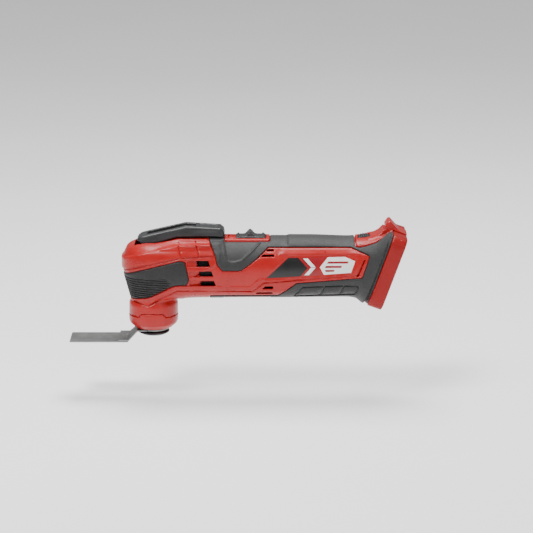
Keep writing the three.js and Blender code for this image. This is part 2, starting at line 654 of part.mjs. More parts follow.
function lead(points) {
  const path = new THREE.CatmullRomCurve3(points.map((p) => new THREE.Vector3(...p)));
  const section = new THREE.Shape().absarc(0, 0, 1.1, 0, 2 * Math.PI);
  return solid(new THREE.ExtrudeGeometry(section, {
    steps: 14, extrudePath: path, curveSegments: 3, bevelEnabled: false,
  }));
}

function addElectronics() {
  add('control_board', box(142, 184, -17, 17, 50, 51.6), 'board');
  const fins = [-9, -4.5, 0, 4.5, 9].map((y) => box(146, 172, y - 0.8, y + 0.8, 53.5, 61));
  add('heat_sink', join(box(146, 172, -11, 11, 51.9, 54), ...fins), 'aluminium');
  add('dial_sensor', box(194, 206, -5, 5, 73.5, 77.4), 'board');
  add('battery_lead_left', lead([[203, -4, 71], [196, -8, 68], [188, -9, 60], [182, -10, 54]]), 'rubber');
  add('battery_lead_right', lead([[203, 4, 71], [196, 8, 68], [188, 9, 60], [182, 10, 54]]), 'rubber');
  add('motor_lead', lead([[145, 13, 53.2], [140, 14, 57], [135, 15, 62], [129, 15, 64]]), 'rubber');
}

function addScrews() {
  SCREWS.forEach(([x, z], i) => {
    const head = rodY(3.2, 7.4, 10.2, x, z, 16);
    const drive = rodY(1.3, 8.8, 12, x, z, 6);
    add(`housing_screw_${i + 1}`, cut(join(head, rodY(1.5, -9, 7.8, x, z, 12)), drive), 'darkSteel');
  });
}

addCasing();
addCollar();
addRearCap();
addBatteryFoot();
addLever();
addPlunger();
addSpindle();
addGearCase();
addClampBolt();
addBlade();
addMotor();
addFan();
addSwitch();
addDial();
addElectronics();
addScrews();

export default group;
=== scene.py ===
"""Looks of the oscillating multi tool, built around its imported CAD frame.

The casing, grips, bumper, lever and foot are distance fields worked out in millimetres on a grid,
turned into closed meshes with OpenVDB. Turned and flat metal pieces are meshed directly.
"""
import json
import math

import bmesh
import bpy
import numpy as np
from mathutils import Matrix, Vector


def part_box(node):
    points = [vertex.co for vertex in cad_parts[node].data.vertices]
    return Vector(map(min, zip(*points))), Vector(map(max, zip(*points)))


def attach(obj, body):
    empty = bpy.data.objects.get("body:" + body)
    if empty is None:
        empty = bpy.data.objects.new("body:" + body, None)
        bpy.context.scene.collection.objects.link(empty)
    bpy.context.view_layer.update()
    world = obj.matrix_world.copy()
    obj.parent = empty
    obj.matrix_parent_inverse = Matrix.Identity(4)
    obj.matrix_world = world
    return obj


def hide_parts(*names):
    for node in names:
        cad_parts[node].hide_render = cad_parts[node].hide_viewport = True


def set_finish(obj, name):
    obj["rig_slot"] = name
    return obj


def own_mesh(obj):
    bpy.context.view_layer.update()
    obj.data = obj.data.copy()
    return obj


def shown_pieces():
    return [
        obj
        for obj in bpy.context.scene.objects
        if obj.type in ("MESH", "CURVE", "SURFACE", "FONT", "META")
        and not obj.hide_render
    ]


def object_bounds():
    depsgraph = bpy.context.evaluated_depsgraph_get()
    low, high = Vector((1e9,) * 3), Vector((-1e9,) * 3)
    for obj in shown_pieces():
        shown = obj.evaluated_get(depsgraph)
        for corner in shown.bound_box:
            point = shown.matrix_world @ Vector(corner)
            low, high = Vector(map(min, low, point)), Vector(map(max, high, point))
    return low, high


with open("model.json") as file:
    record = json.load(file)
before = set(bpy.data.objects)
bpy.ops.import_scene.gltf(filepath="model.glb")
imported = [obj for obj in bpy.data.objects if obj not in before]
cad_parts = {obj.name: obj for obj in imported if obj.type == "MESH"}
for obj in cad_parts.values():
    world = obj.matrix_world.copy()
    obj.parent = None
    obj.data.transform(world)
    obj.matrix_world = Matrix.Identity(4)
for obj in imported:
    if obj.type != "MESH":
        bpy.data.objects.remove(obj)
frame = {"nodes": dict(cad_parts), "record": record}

import openvdb
from mathutils import Vector

cad_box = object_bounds()

MM = 0.001
VOXEL = 0.45
GAP = 0.3  # clearance between neighbouring pieces


# ---- Places taken from the frame, in millimetres ---------------------------------------
def box_mm(node):
    low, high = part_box(node)
    return np.array(low) / MM, np.array(high) / MM


def joint(name):
    return next(j for j in frame["record"]["behaviour"]["joints"] if j["name"] == name)


def mount(name):
    return next(m for m in frame["record"]["mounts"] if m["name"] == name)


COLLAR_R = box_mm("head_collar")[1][0]
PIN_X, _, PIN_Z = np.array(joint("lever_lift")["pos_m"]) / MM
DIAL_X, _, DIAL_Z = np.array(joint("dial_turn")["pos_m"]) / MM
DIAL_LOW, DIAL_HIGH = box_mm("speed_dial")
DIAL_R = (DIAL_HIGH[0] - DIAL_LOW[0]) / 2
DIAL_HALF = DIAL_HIGH[1]
SLIDER_LOW, SLIDER_HIGH = box_mm("switch_slider")
TRAVEL = joint("switch_slide")["range_m"][1] / MM
BLADE_LOW, BLADE_HIGH = box_mm("blade_plate")
ARBOR_LOW, ARBOR_HIGH = box_mm("blade_arbor")
LEVER_HALF = box_mm("lever")[1][1]
FOOT_AXIS = mount("battery_foot")["axis"]
FOOT_TILT = math.atan2(-FOOT_AXIS[2], FOOT_AXIS[0])
FOOT_X, _, FOOT_Z = np.array(mount("battery_foot")["pos_m"]) / MM
FOOT_HALF = box_mm("battery_shoe")[1][1]
FOOT_TALL = 36.5  # half the foot's height
FOOT_DEPTH = 14.0
FOOT_BACK = (FOOT_X - (FOOT_DEPTH + GAP) * math.cos(FOOT_TILT),
             FOOT_Z + (FOOT_DEPTH + GAP) * math.sin(FOOT_TILT))
SCREWS = [(box_mm(n)[0] + box_mm(n)[1]) / 2 for n in sorted(frame["nodes"]) if n.startswith("housing_screw")]


# ---- Small field tools -----------------------------------------------------------------
def smooth_union(a, b, k):
    h = np.clip(0.5 + 0.5 * (b - a) / k, 0, 1)
    return b * (1 - h) + a * h - k * h * (1 - h)


def smooth_cut(a, b, k):
    return -smooth_union(-a, b, k)


def curve(x, keys):
    """A smooth curve through (place, value) keys, flat beyond both ends."""
    keys = np.array(keys, float)
    px, py = keys[:, 0], keys[:, 1]
    step = np.diff(px)
    slope = np.diff(py) / step
    tangent = np.zeros(len(px))
    same = slope[1:] * slope[:-1] > 0
    mean = 2 * slope[1:] * slope[:-1] / np.where(same, slope[1:] + slope[:-1], 1)
    tangent[1:-1] = np.where(same, mean, 0)
    tangent[0], tangent[-1] = slope[0], slope[-1]
    x = np.clip(x, px[0], px[-1])
    i = np.clip(np.searchsorted(px, x) - 1, 0, len(px) - 2)
    t = (x - px[i]) / step[i]
    return (py[i] * (2 * t**3 - 3 * t**2 + 1) + tangent[i] * step[i] * (t**3 - 2 * t**2 + t)
            + py[i + 1] * (3 * t**2 - 2 * t**3) + tangent[i + 1] * step[i] * (t**3 - t**2))


def ramp(value, low, high):
    t = np.clip((value - low) / (high - low), 0, 1)
    return t * t * (3 - 2 * t)


def to_line(points, u, v):
    """Distance in the plane from (u, v) to an open line through points."""
    best = np.full(np.broadcast(u, v).shape, 1e9)
    for (ax, ay), (bx, by) in zip(points[:-1], points[1:]):
        dx, dy = bx - ax, by - ay
        t = np.clip(((u - ax) * dx + (v - ay) * dy) / (dx * dx + dy * dy), 0, 1)
        best = np.minimum(best, np.hypot(u - ax - t * dx, v - ay - t * dy))
    return best


def polygon(points, u, v, round_by=0.0):
    """Signed distance in the plane to a closed outline, negative inside."""
    inside = np.zeros(np.broadcast(u, v).shape, bool)
    for (ax, ay), (bx, by) in zip(points, points[1:] + points[:1]):
        if ay == by:
            continue
        crosses = (ay > v) != (by > v)
        inside ^= crosses & (u < (bx - ax) * (v - ay) / (by - ay) + ax)
    far = to_line(points + points[:1], u, v)
    return np.where(inside, -far, far) - round_by


def rounded_box(u, v, w, half, radius):
    q = [np.abs(a) - h + radius for a, h in zip((u, v, w), half)]
    out = np.sqrt(sum(np.maximum(a, 0)**2 for a in q))
    return out + np.minimum(np.maximum(np.maximum(q[0], q[1]), q[2]), 0) - radius


class Grid:
    """A block of sample points, with x, y and z ready to broadcast."""

    def __init__(self, low, high, voxel=VOXEL):
        self.voxel = voxel
        self.low = np.array(low, float)
        counts = [int(math.ceil((b - a) / voxel)) + 1 for a, b in zip(low, high)]
        axes = [self.low[i] + voxel * np.arange(counts[i]) for i in range(3)]
        self.x = axes[0][:, None, None]
        self.y = axes[1][None, :, None]
        self.z = axes[2][None, None, :]
        self.shape = tuple(counts)

    def mesh(self, name, field, adaptivity=0.0, mirror=False):
        """The surface where field is zero, as a closed mesh; mirror turns it over to the other side."""
        field = np.broadcast_to(field, self.shape).astype(np.float32).copy()
        band = 4 * self.voxel
        np.clip(field, -band, band, out=field)
        for side in (0, -1):
            field[side], field[:, side], field[:, :, side] = band, band, band
        grid = openvdb.FloatGrid(background=band)
        grid.copyFromArray(field)
        points, triangles, quads = grid.convertToPolygons(isovalue=0.0, adaptivity=adaptivity)
        points = points.astype(float) * self.voxel + self.low
        faces = [tuple(f) for f in triangles.tolist()] + [tuple(f) for f in quads.tolist()]
        if mirror:
            points[:, 1] *= -1
        else:
            faces = [f[::-1] for f in faces]
        return mesh_object(name, points, faces)


def mesh_object(name, points, faces, smooth=True):
    mesh = bpy.data.meshes.new(name)
    mesh.from_pydata((np.asarray(points) * MM).tolist(), [], [list(f) for f in faces])
    mesh.validate()
    if smooth:
        mesh.shade_smooth()
    piece = bpy.data.objects.new(name, mesh)
    bpy.context.scene.collection.objects.link(piece)
    return piece


def bevelled(piece, width, segments=2, angle=30):
    edge = piece.modifiers.new("edges", "BEVEL")
    edge.width = width * MM
    edge.segments = segments
    edge.angle_limit = math.radians(angle)
    edge.harden_normals = True
    return piece


def place(piece, body, slot, *nodes):
    """Ties a piece to its body and its material slot, and to the CAD nodes that it stands for."""
    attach(piece, body)
    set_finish(piece, slot)
    if nodes:
        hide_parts(*nodes)
    return piece


# ---- Casing form -----------------------------------------------------------------------
# Barrel: place along the body, then centre x and z, half height, half width, squareness and tilt.
STATIONS = [
    (-4, -4, 62.5, 24.5, 27, 2.6, 0),
    (12, 12, 64.6, 28.6, 28.6, 2.5, 0),
    (26, 26, 65.8, 30.1, 29, 2.35, 0),
    (45, 45, 65.9, 29.6, 29, 2.2, 0),
    (110, 110, 65.9, 29.3, 28.8, 2.15, 0),
    (150, 150, 66, 29, 28.6, 2.15, 0),
    (184, 184, 66.1, 28.7, 28.3, 2.2, 0),
    (194, 194, 66, 29.2, 28.9, 2.5, 5),
    (203, 203, 65.8, 31.2, 30.4, 3.1, 11),
    (210, 210, 66.2, 33.6, 32.2, 4, 16),
    (216, FOOT_BACK[0], FOOT_BACK[1], 36.2, 34.2, 7, math.degrees(FOOT_TILT)),
    (232, FOOT_BACK[0] + 16 * math.cos(FOOT_TILT), FOOT_BACK[1] - 16 * math.sin(FOOT_TILT),
     36.4, 34.4, 8, math.degrees(FOOT_TILT)),
]


def along(x, z):
    """How far along the body each side-view point lies, following the tilting sections."""
    keys = np.array(STATIONS)
    places = np.linspace(keys[0, 0], keys[-1, 0], 160)
    cx, cz, _, _, _, tilt = [curve(places, list(zip(keys[:, 0], keys[:, i]))) for i in range(1, 7)]
    tilt = np.radians(tilt)
    best = np.full(np.broadcast(x, z).shape, float(keys[0, 0]))
    last = None
    for i in range(len(places)):
        ahead = (x - cx[i]) * math.cos(tilt[i]) - (z - cz[i]) * math.sin(tilt[i])
        if last is not None:
            crossed = (last > 0) & (ahead <= 0)
            t = last / np.where(crossed, last - ahead, 1)
            best = np.where(crossed, places[i - 1] + t * (places[i] - places[i - 1]), best)
        last = ahead
    return np.where(last > 0, keys[-1, 0], best)


def barrel(g):
    """Distance to the barrel's rounded sections, and the place along the body."""
    s = along(g.x, g.z)
    keys = np.array(STATIONS)
    cx, cz, high, wide, n, tilt = [curve(s, list(zip(keys[:, 0], keys[:, i]))) for i in range(1, 7)]
    tilt = np.radians(tilt)
    u = np.abs((g.x - cx) * np.sin(tilt) + (g.z - cz) * np.cos(tilt))
    radius = ((np.abs(g.y) / wide)**n + (u / high)**n)**(1 / n)
    return (radius - 1) * np.minimum(high, wide), s


BARREL_R = 29.2
BARREL_Z = 65.9
HEAD_POWER = 2.45  # squareness of the head in plan
HEAD_REACH = [(34, 20.5), (37, 21.0), (44, 22.9), (52, 25.1), (61, 27.3), (70, 28.2), (78, 28.2),
              (83, 26.4), (87, 24.0), (89, 20.2), (90.2, 16.5), (92, 8)]
HEAD_HALF = [(34, 20.8), (37, 21.6), (44, 25.0), (52, 27.4), (61, 28.5), (70, 29.0), (78, 28.8),
             (83, 27.6), (87, 24.6), (89, 21.6), (90.2, 18.6), (92, 12)]


def head(g):
    """Head in front of the barrel: its reach and half width vary with height, and blend into the barrel."""
    reach = curve(g.z, HEAD_REACH)
    end = np.interp(g.z, [36, 58, 76], [27, 33, 62])
    round_half = np.sqrt(np.maximum(BARREL_R**2 - (g.z - BARREL_Z)**2, 1))
    fade = ramp(g.x, 0.2 * end, end)
    half = curve(g.z, HEAD_HALF) * (1 - fade) + round_half * fade
    ahead = np.maximum(-g.x, 0)
    radius = ((ahead / reach)**HEAD_POWER + (np.abs(g.y) / half)**HEAD_POWER)**(1 / HEAD_POWER)
    slope = np.maximum(np.abs(np.gradient(reach, axis=2)), np.abs(np.gradient(half, axis=2))) / g.voxel
    side = (radius - 1) * np.minimum(reach, half) / np.sqrt(1 + slope**2)
    back = g.x - end
    return np.maximum(np.maximum(side, 36.2 - g.z), np.maximum(back, g.z - 91.4))


COLLAR_SEAM_Z = 20.4
SEAM_STEP = 3.6
COLLAR_GAP = 0.15  # half the joint between head and collar


def seam_height(x):
    """Height of the seam between head and collar: level, with a raised step in front and behind."""
    return COLLAR_SEAM_Z + SEAM_STEP * (1 - ramp(np.abs(x + 0.6), 9.5, 13.5))


def neck(g):
    spoke = np.hypot(g.x, g.y)
    radius = COLLAR_R - 0.55 * np.maximum(g.z - 31.6, 0)
    return np.maximum(np.maximum(spoke - radius, g.z - 44), seam_height(g.x) + COLLAR_GAP - g.z)


def saddle(g):
    """Flat-topped rise on the barrel that carries the lever's grip end, with leaning sides."""
    top = np.interp(g.x, [-15, 0, 25, 66, 68], [89.2, 89.8, 95.6, 94.6, 93.6])
    lean = 14.4 + 0.75 * np.maximum(top - g.z, 0) + 0 * g.x
    lean = lean + 1.2 * ramp(g.x, 0, 22)
    block = np.maximum((np.abs(g.y) - lean) * 0.8, (g.z - top) * 0.95)
    return np.maximum(np.maximum(block, 84 - g.z), np.maximum(-15.5 - g.x, g.x - 67.2))


def casing_field(g):
    tube, s = barrel(g)
    tube = np.maximum(tube, STATIONS[0][0] - g.x)
    body = smooth_union(tube, head(g), 4.0)
    body = smooth_union(body, saddle(g), 1.6)
    return smooth_union(body, neck(g), 2.2), s


# ---- Side-view outlines, x and z in millimetres -----------------------------------------------------------
BUMPER = [(-40, 61.1), (-28.5, 61.1), (-14, 66.6), (25, 76.8), (30.6, 75.8), (34.2, 59.5), (32, 54.4),
          (21.5, 54.1), (16, 52), (-0.5, 42.6), (-5, 40.8), (-14, 39.6), (-21, 37.6), (-40, 37.6)]
BELT_LOW = [(-30, 66.4), (-24, 68.6), (-14, 72.2), (26.5, 80.9), (60, 82.6)]
BELT_HIGH = [(-30, 77.3), (-24, 79.2), (-14, 83.2), (24.5, 91.6), (60, 92.6)]
GRIP = [(54.4, 125), (54.2, 94.4), (59.7, 82), (61.8, 73.6), (66.4, 68.3), (82.7, 68.3), (88.3, 71.8),
        (98, 79.2), (109, 88.9), (187, 88.9), (203.6, 83), (204.9, 81), (203.5, 77), (199, 63.3),
        (197.4, 60.3), (167, 57.5), (136, 55), (120.6, 42.6), (118.6, 41.2), (55, 41), (52, 30),
        (290, 30), (290, 125)]
LABEL = [(107.4, 60.4), (127.6, 80.6), (183, 81.6), (192.4, 77.6), (188, 65.2), (150, 62.6), (118, 60.2)]
LABEL_SINK = 0.5  # depth of the label's recess
CREASE = [(-17, 35.2), (-5, 31.6), (23, 47.8), (94.5, 46.9), (104.8, 56), (140.9, 59.2), (196, 63.4)]
LOWER_RIM = [(-40, 35.9), (-17, 35.9), (-5, 32.4), (23, 48.6), (94, 47.7), (103.8, 56.4), (140.9, 60.2),
             (140.9, 61.4), (100.4, 60.2), (91.6, 52.4), (22.5, 53.4), (-1.5, 41.6), (-14, 39), (-40, 38)]
THUMB_LINE = [(66.9, 97), (68.6, 85), (70.9, 77.8), (73.6, 76.2), (77.4, 76.2), (84.1, 77.8),
              (88.4, 81.5), (94.7, 86.6), (101.5, 92.5)]
PADS = [
    [(141.5, 50.4), (161, 51.4), (156.6, 42.6), (134.8, 41.4)],
    [(163.4, 51.4), (179.3, 52.0), (175.4, 43.0), (159, 42.6)],
    [(181.5, 52.0), (193.4, 51.6), (192, 47.4), (189.6, 44.4), (177.6, 43.4)],
]
RAISED_STRIP = [(119, 82.2), (125, 88.6), (300, 88.6), (300, 82.2)]
SLIT = [(199.6, 78), (193.3, 62.9)]
LOUVRES = [  # left end, right ends at the top and the foot of the dark slot, low and high edges
    (33.5, 53.0, 54.6, 71.9, 77.4),
    (35.0, 55.8, 57.6, 62.3, 67.6),
    (35.6, 58.0, 59.9, 52.8, 58.0),
]
VENTS = [
    [(107.2, 85.2), (108.8, 87.1), (114.2, 87.1), (114.2, 85.2)],
    [(102.4, 80.6), (104.0, 82.6), (114.6, 82.6), (114.6, 80.6)],
    [(103.4, 49.6), (106.4, 52.4), (113.6, 52.4), (113.6, 49.6)],
    [(97.2, 43.8), (98.6, 45.4), (113.2, 45.4), (113.2, 43.8)],
]
LEVER_SIDE = [(-14.9, 93.1), (-10.4, 90.4), (0.3, 90), (8, 91.5), (22.4, 96.2), (66, 96.2), (68.2, 98),
              (67.3, 102.3), (64, 104.9), (31, 106.9), (-3.4, 99.1), (-10.6, 97.3), (-13.6, 95.3)]
SWITCH_X = (SLIDER_LOW[0] - TRAVEL - 0.4, SLIDER_HIGH[0] + 0.5)
FRAME_OUT = 3.6  # width of the red rim round the switch
STEM_X = 95  # foot of the switch slider, which runs in its slot
STEM_HALF = 3


def rim_plan(x, y, grow):
    middle = (SWITCH_X[0] + SWITCH_X[1]) / 2
    half = (SWITCH_X[1] - SWITCH_X[0]) / 2 + grow
    du = np.abs(x - middle) - half + 2
    dv = np.abs(y) - (SLIDER_HIGH[1] + 0.4 + grow) + 2
    outside = np.hypot(np.maximum(du, 0), np.maximum(dv, 0))
    return outside + np.minimum(np.maximum(du, dv), 0) - 2


def cap_plan(x, y):
    """Plan outline of the red top piece in front of the battery foot, negative inside."""
    half = curve(x, [(190, 17.5), (195, 20), (210, 20.5), (216, 17.5), (223, 12.2), (250, 12)])
    return np.maximum(191.2 - x, np.abs(y) - half)


def side_reliefs(g):
    """Grooves (positive) and raised areas (negative) on both sides of the body, seen from the side."""
    x, z = g.x, g.z
    low = np.interp(x, *zip(*BELT_LOW))
    high = np.interp(x, *zip(*BELT_HIGH))
    belt = ramp(z, low - 0.7, low + 0.5) * (1 - ramp(z, high - 0.3, high + 0.9)) * (1 - ramp(x, 57, 60))
    relief = -1.7 * belt
    under = np.abs(z - low + 2.6)
    relief = relief - 0.55 * (1 - ramp(under, 0.5, 1.1)) * (1 - ramp(x, 56, 58))
    for top, foot in (((24.6, 92.6), (27.2, 80.8)), ((41.0, 93.4), (44.2, 82))):
        groove = to_line([top, foot], x, z)
        relief = relief + 0.9 * (1 - ramp(groove, 0.2, 0.6)) * (g.y * g.y > 60)
    crease = to_line(CREASE, x, z)
    relief = relief + 0.9 * (1 - ramp(crease, 0.2, 0.9))
    relief = relief - 0.8 * (1 - ramp(polygon(LOWER_RIM, x, z), -0.7, 0.3))
    label = polygon(LABEL, x, z, 0.8)
    relief = relief + LABEL_SINK * (1 - ramp(label, -0.2, 0.4))
    strip = polygon(RAISED_STRIP, x, z)
    relief = relief - 0.7 * (1 - ramp(strip, -1.0, 0.4))
    slit = to_line(SLIT, x, z)
    relief = relief + 2.2 * (1 - ramp(slit, 0.45, 0.8))
    return relief


LEVER_SWEEP = 13.1  # radius kept free round the pin as the lever turns
LOUVRE_DEPTH = (1.1, 6.5)  # at the front end and at the rear end of a louvre


def opening_fields(g, body):
    """Solids to take out of the casing: louvres, vents, lever bay, switch bay and dial well."""
    cuts = []
    side = np.abs(g.y)
    for left, top_right, foot_right, low, high in LOUVRES:
        right = foot_right + (top_right - foot_right) * (g.z - low) / (high - low)
        share = np.clip((g.x - left) / (foot_right - left), 0, 1)**1.5
        depth = LOUVRE_DEPTH[0] + (LOUVRE_DEPTH[1] - LOUVRE_DEPTH[0]) * share
        pocket = np.maximum(np.maximum(left - g.x, g.x - right), np.maximum(low - g.z, g.z - high))
        cuts.append(np.maximum(np.maximum(pocket, -body - depth), 18 - side))
    for vent in VENTS:
        cuts.append(np.maximum(polygon(vent, g.x, g.z), -body - 5))
    lever = polygon(LEVER_SIDE, g.x, g.z)
    above = np.interp(g.x, [-16, 8, 22.4, 70], [90, 91.4, 95.8, 95.8])
    bay = np.minimum(lever, np.maximum(above - g.z, np.maximum(-15.5 - g.x, g.x - 69.4))) - 0.7
    sweep = np.hypot(g.x - PIN_X, g.z - PIN_Z) - LEVER_SWEEP
    cuts.append(np.maximum(np.minimum(bay, sweep), side - LEVER_HALF - 0.8))
    cuts.append(np.maximum(rim_plan(g.x, g.y, 0), 93.2 - g.z))
    reach = STEM_HALF + TRAVEL / 2 + 0.7
    stem = np.maximum(np.abs(g.x - STEM_X + TRAVEL / 2 + 0.1) - reach, side - 3.1)
    cuts.append(np.maximum(stem, 80 - g.z))
    well = np.maximum(np.hypot(g.x - DIAL_X, g.z - DIAL_Z) - DIAL_R - 0.9, side - DIAL_HALF - 0.9)
    cuts.append(well)
    cuts.append(np.maximum(np.hypot(g.x, g.y) - SPINDLE_ROOM, g.z - 50))
    return cuts


# ---- Casing pieces ---------------------------------------------------------------------
WALL = 2.8
SKIN = 1.6  # depth of the overmould, the bumper and the rear piece
SEAM = 0.22  # half the joint between neighbouring casing pieces
SPLIT = 0.08  # half the joint between the two halves
BODY_END = 215.9  # where the casing ends, measured along the body
CAP_FOOT = 84  # lowest height of the rear piece
SCREW_BORE = 3.7
PIN_BORE = 2.7
PIN_SEAT_R = 4.6
HUB_R = 5.2  # lever hub round the pin
SPINDLE_ROOM = 19.2  # radius kept free round the spindle in head and collar


def take_out(field, cuts):
    for solid in cuts:
        field = np.maximum(field, -solid)
    return field


def screw_cuts(g):
    """Counterbores in the right half; the field is worked out for y below 0 and mirrored."""
    cuts = []
    for centre in SCREWS:
        spoke = np.hypot(g.x - centre[0], g.z - centre[2])
        cuts.append(np.maximum(spoke - SCREW_BORE, g.y + 7))
    return cuts


def build_casing():
    """Both halves are worked out for y below 0, and the right one is mirrored."""
    g = Grid((-33, -36.5, 17), (229, 0.9, 106))
    body, s = casing_field(g)
    limits = np.maximum(g.y + SPLIT, s - BODY_END)
    cap_zone = np.maximum(cap_plan(g.x, g.y), CAP_FOOT - g.z)
    grip_zone = np.maximum(polygon(GRIP, g.x, g.z, 0.6), -rim_plan(g.x, g.y, FRAME_OUT))
    grip_zone = np.maximum(grip_zone, 0.4 - cap_zone)
    cuts = opening_fields(g, body)
    build_housings(g, body, limits, np.minimum(grip_zone, cap_zone), cuts)
    build_grips(g, body, limits, grip_zone, cuts)
    # dark plates behind the louvres paint the shade inside the casing
    build_louvre_shade_plates(g, body)


def build_housings(g, body, limits, skin_zone, cuts):
    """Red walls with their reliefs, stepped in under the skins, with seats for the lever's pin."""
    rim = np.maximum(rim_plan(g.x, g.y, FRAME_OUT), 90 - g.z)
    rim = np.maximum(np.maximum(rim, body - 0.9), -body - 4)
    red = np.minimum(body + side_reliefs(g), rim)
    red = np.maximum(np.maximum(red, -body - WALL), limits)
    under_skins = np.minimum(skin_zone, polygon(BUMPER, g.x, g.z, 0.5)) - SEAM
    red = np.maximum(red, -np.maximum(under_skins, -body - SKIN))
    pin = np.hypot(g.x - PIN_X, g.z - PIN_Z)
    seat = np.maximum(np.maximum(pin - PIN_SEAT_R, g.y + 13.2), np.maximum(-20 - g.y, body))
    red = take_out(np.minimum(red, seat), cuts + [np.maximum(pin - PIN_BORE, -16.4 - g.y)])
    left = g.mesh("housing_left_shell", red, 0.12)
    place(left, "tool_body", "red_housing", "housing_left")
    right = g.mesh("housing_right_shell", take_out(red, screw_cuts(g)), 0.12, mirror=True)
    place(right, "tool_body", "red_housing", "housing_right")


def build_grips(g, body, limits, grip_zone, cuts):
    """Overmould: thumb patch, raised spine, grip pads and a lip in front of the battery foot."""
    thumb = to_line(THUMB_LINE, g.x, g.z)
    patch = polygon(THUMB_LINE, g.x, g.z)
    lift = 0.25 + 0.7 * (1 - ramp(thumb, 0.4, 1.0)) - 0.45 * (1 - ramp(patch, -0.6, 0.2))
    spine = 0.9 * ramp(g.x, 127, 128.5) * (1 - ramp(g.x, 150, 185)) * ramp(g.z, 88, 92)
    pads = np.minimum.reduce([polygon(p, g.x, g.z, 0.3) for p in PADS])
    groove = 1.1 * (1 - ramp(np.abs(pads - 0.6), 0.3, 0.9))
    lift = lift + spine - groove + 0.9 * (1 - ramp(pads, -3.5, 0))
    beyond = (g.x - FOOT_BACK[0]) * math.cos(FOOT_TILT) - (g.z - FOOT_BACK[1]) * math.sin(FOOT_TILT)
    lip = ramp(beyond, -12, -3.4) * (1 - ramp(beyond, -3.2, -2.2))
    lift = lift + 1.6 * lip - 0.6 * ramp(beyond, -3.0, -2.0) * (g.z < 100)
    edge = ramp(-grip_zone, 0.0, 1.0)
    skin = np.maximum(body - lift * edge + 0.5 * (1 - edge), -body - SKIN + GAP)
    skin = np.maximum(np.maximum(skin, grip_zone + SEAM), limits)
    skin = take_out(skin, cuts)
    place(g.mesh("grip_left_skin", skin, 0.1), "tool_body", "overmould", "grip_left")
    right = g.mesh("grip_right_skin", take_out(skin, screw_cuts(g)), 0.1, mirror=True)
    place(right, "tool_body", "overmould", "grip_right")


def build_louvre_shade_plates(g, body):
    """A dark plate behind each side's louvres: painted shade that stands for the dark inside of the casing,
    so that nobody looks right through the casing.
    """
    screen = np.maximum(np.maximum(-body - 5.9, body + 5.0), np.maximum(43.2 - g.x, g.x - 63.5))
    screen = np.maximum(np.maximum(screen, g.y + 4), np.maximum(49.5 - g.z, g.z - 80.5))
    for word in ("left", "right"):
        piece = g.mesh(f"louvre_shade_plate_{word}", screen, 0.3, mirror=word == "right")
        place(piece, "tool_body", "black_plastic")


RIB_PITCH = 2.25


def build_bumper():
    g = Grid((-33, -33, 34), (37, 33, 80))
    body, _ = casing_field(g)
    zone = polygon(BUMPER, g.x, g.z, 0.5)
    edge = ramp(-zone, 0.0, 1.3)
    reach = 18.5 - 0.9 * np.abs(g.z - 55.0)
    ribs = np.abs(((g.z + 0.035 * g.x - 39.6) % RIB_PITCH) - 1.1)
    ribbed = ramp(60.5 - g.z, 0, 0.4) * ramp(g.z, 39.4, 40.2) * (1 - ramp(g.x, reach - 3, reach + 1))
    lift = 0.9 * edge - 1.1 * ribbed * (1 - ramp(ribs, 0.3, 0.8))
    skin = np.maximum(np.maximum(body - lift, -body - SKIN + GAP), zone + SEAM)
    place(g.mesh("front_bumper_skin", skin, 0.05), "tool_body", "bumper_rubber", "front_bumper")


def build_collar():
    g = Grid((-26, -26, 6), (26, 26, 27), 0.4)
    spoke = np.hypot(g.x, g.y)
    outline = [(0, 7.6), (17.6, 7.6), (18.6, 8.4), (22.4, 12.0), (23.3, 14.4), (23.5, 18),
               (23.5, 40), (0, 40)]
    ring = polygon(outline, spoke, np.broadcast_to(g.z, np.broadcast(spoke, g.z).shape))
    ring = np.maximum(ring, g.z - seam_height(g.x) + COLLAR_GAP)
    ring = np.maximum(ring, 14 - spoke)
    ring = np.maximum(ring, -np.maximum(spoke - SPINDLE_ROOM, 15.2 - g.z))
    place(g.mesh("head_collar_ring", ring, 0.05), "tool_body", "red_housing", "head_collar")


def build_rear_cap():
    g = Grid((186, -24, 82), (244, 24, 116))
    body, _ = casing_field(g)
    plan = cap_plan(g.x, g.y)
    saddle = np.maximum(np.maximum(body - 0.7 * ramp(-plan, 0, 1.0), -body - SKIN + GAP), plan + SEAM)
    saddle = np.maximum(saddle, 84.4 - g.z)
    profile = [(203, 84), (203, 95.6), (209.4, 97.0), (214, 100), (217.8, 104.2), (220.2, 108.4),
               (221.9, 111.2), (224.4, 111.6), (232.0, 103.2), (237.4, 96.6), (236, 84)]
    shape = polygon(profile, g.x, g.z)
    width = curve(g.x, [(203, 15), (212, 14), (222, 11.2), (240, 11)])
    lug = smooth_cut(shape, -(np.abs(g.y) - width), 2.0)
    lug = np.maximum(lug, -body - 0.8)
    n, _, u = foot_axes(g)
    behind = np.maximum(np.maximum(-FOOT_DEPTH - GAP - n, n - GAP), u - FOOT_TALL - GAP)
    cap = smooth_union(saddle, lug, 1.6)
    cap = np.maximum(cap, np.maximum(n + 0.2, 84 - g.z))
    notch = np.hypot(g.x - 219.2, g.z - 104.9) - 1.3
    cap = take_out(cap, [behind, notch])
    well = np.maximum(np.hypot(g.x - DIAL_X, g.z - DIAL_Z) - DIAL_R - 0.7, np.abs(g.y) - DIAL_HALF - 0.7)
    cap = take_out(cap, [well])
    place(g.mesh("rear_cap_piece", cap, 0.05), "tool_body", "red_housing", "rear_cap")


def foot_axes(g):
    """Places measured from the foot's face: out of it, across it and up it."""
    c, s = math.cos(FOOT_TILT), math.sin(FOOT_TILT)
    dx, dz = g.x - FOOT_X, g.z - FOOT_Z
    return dx * c - dz * s, g.y + 0 * dx, dx * s + dz * c


FOOT_CORNER = 9.5


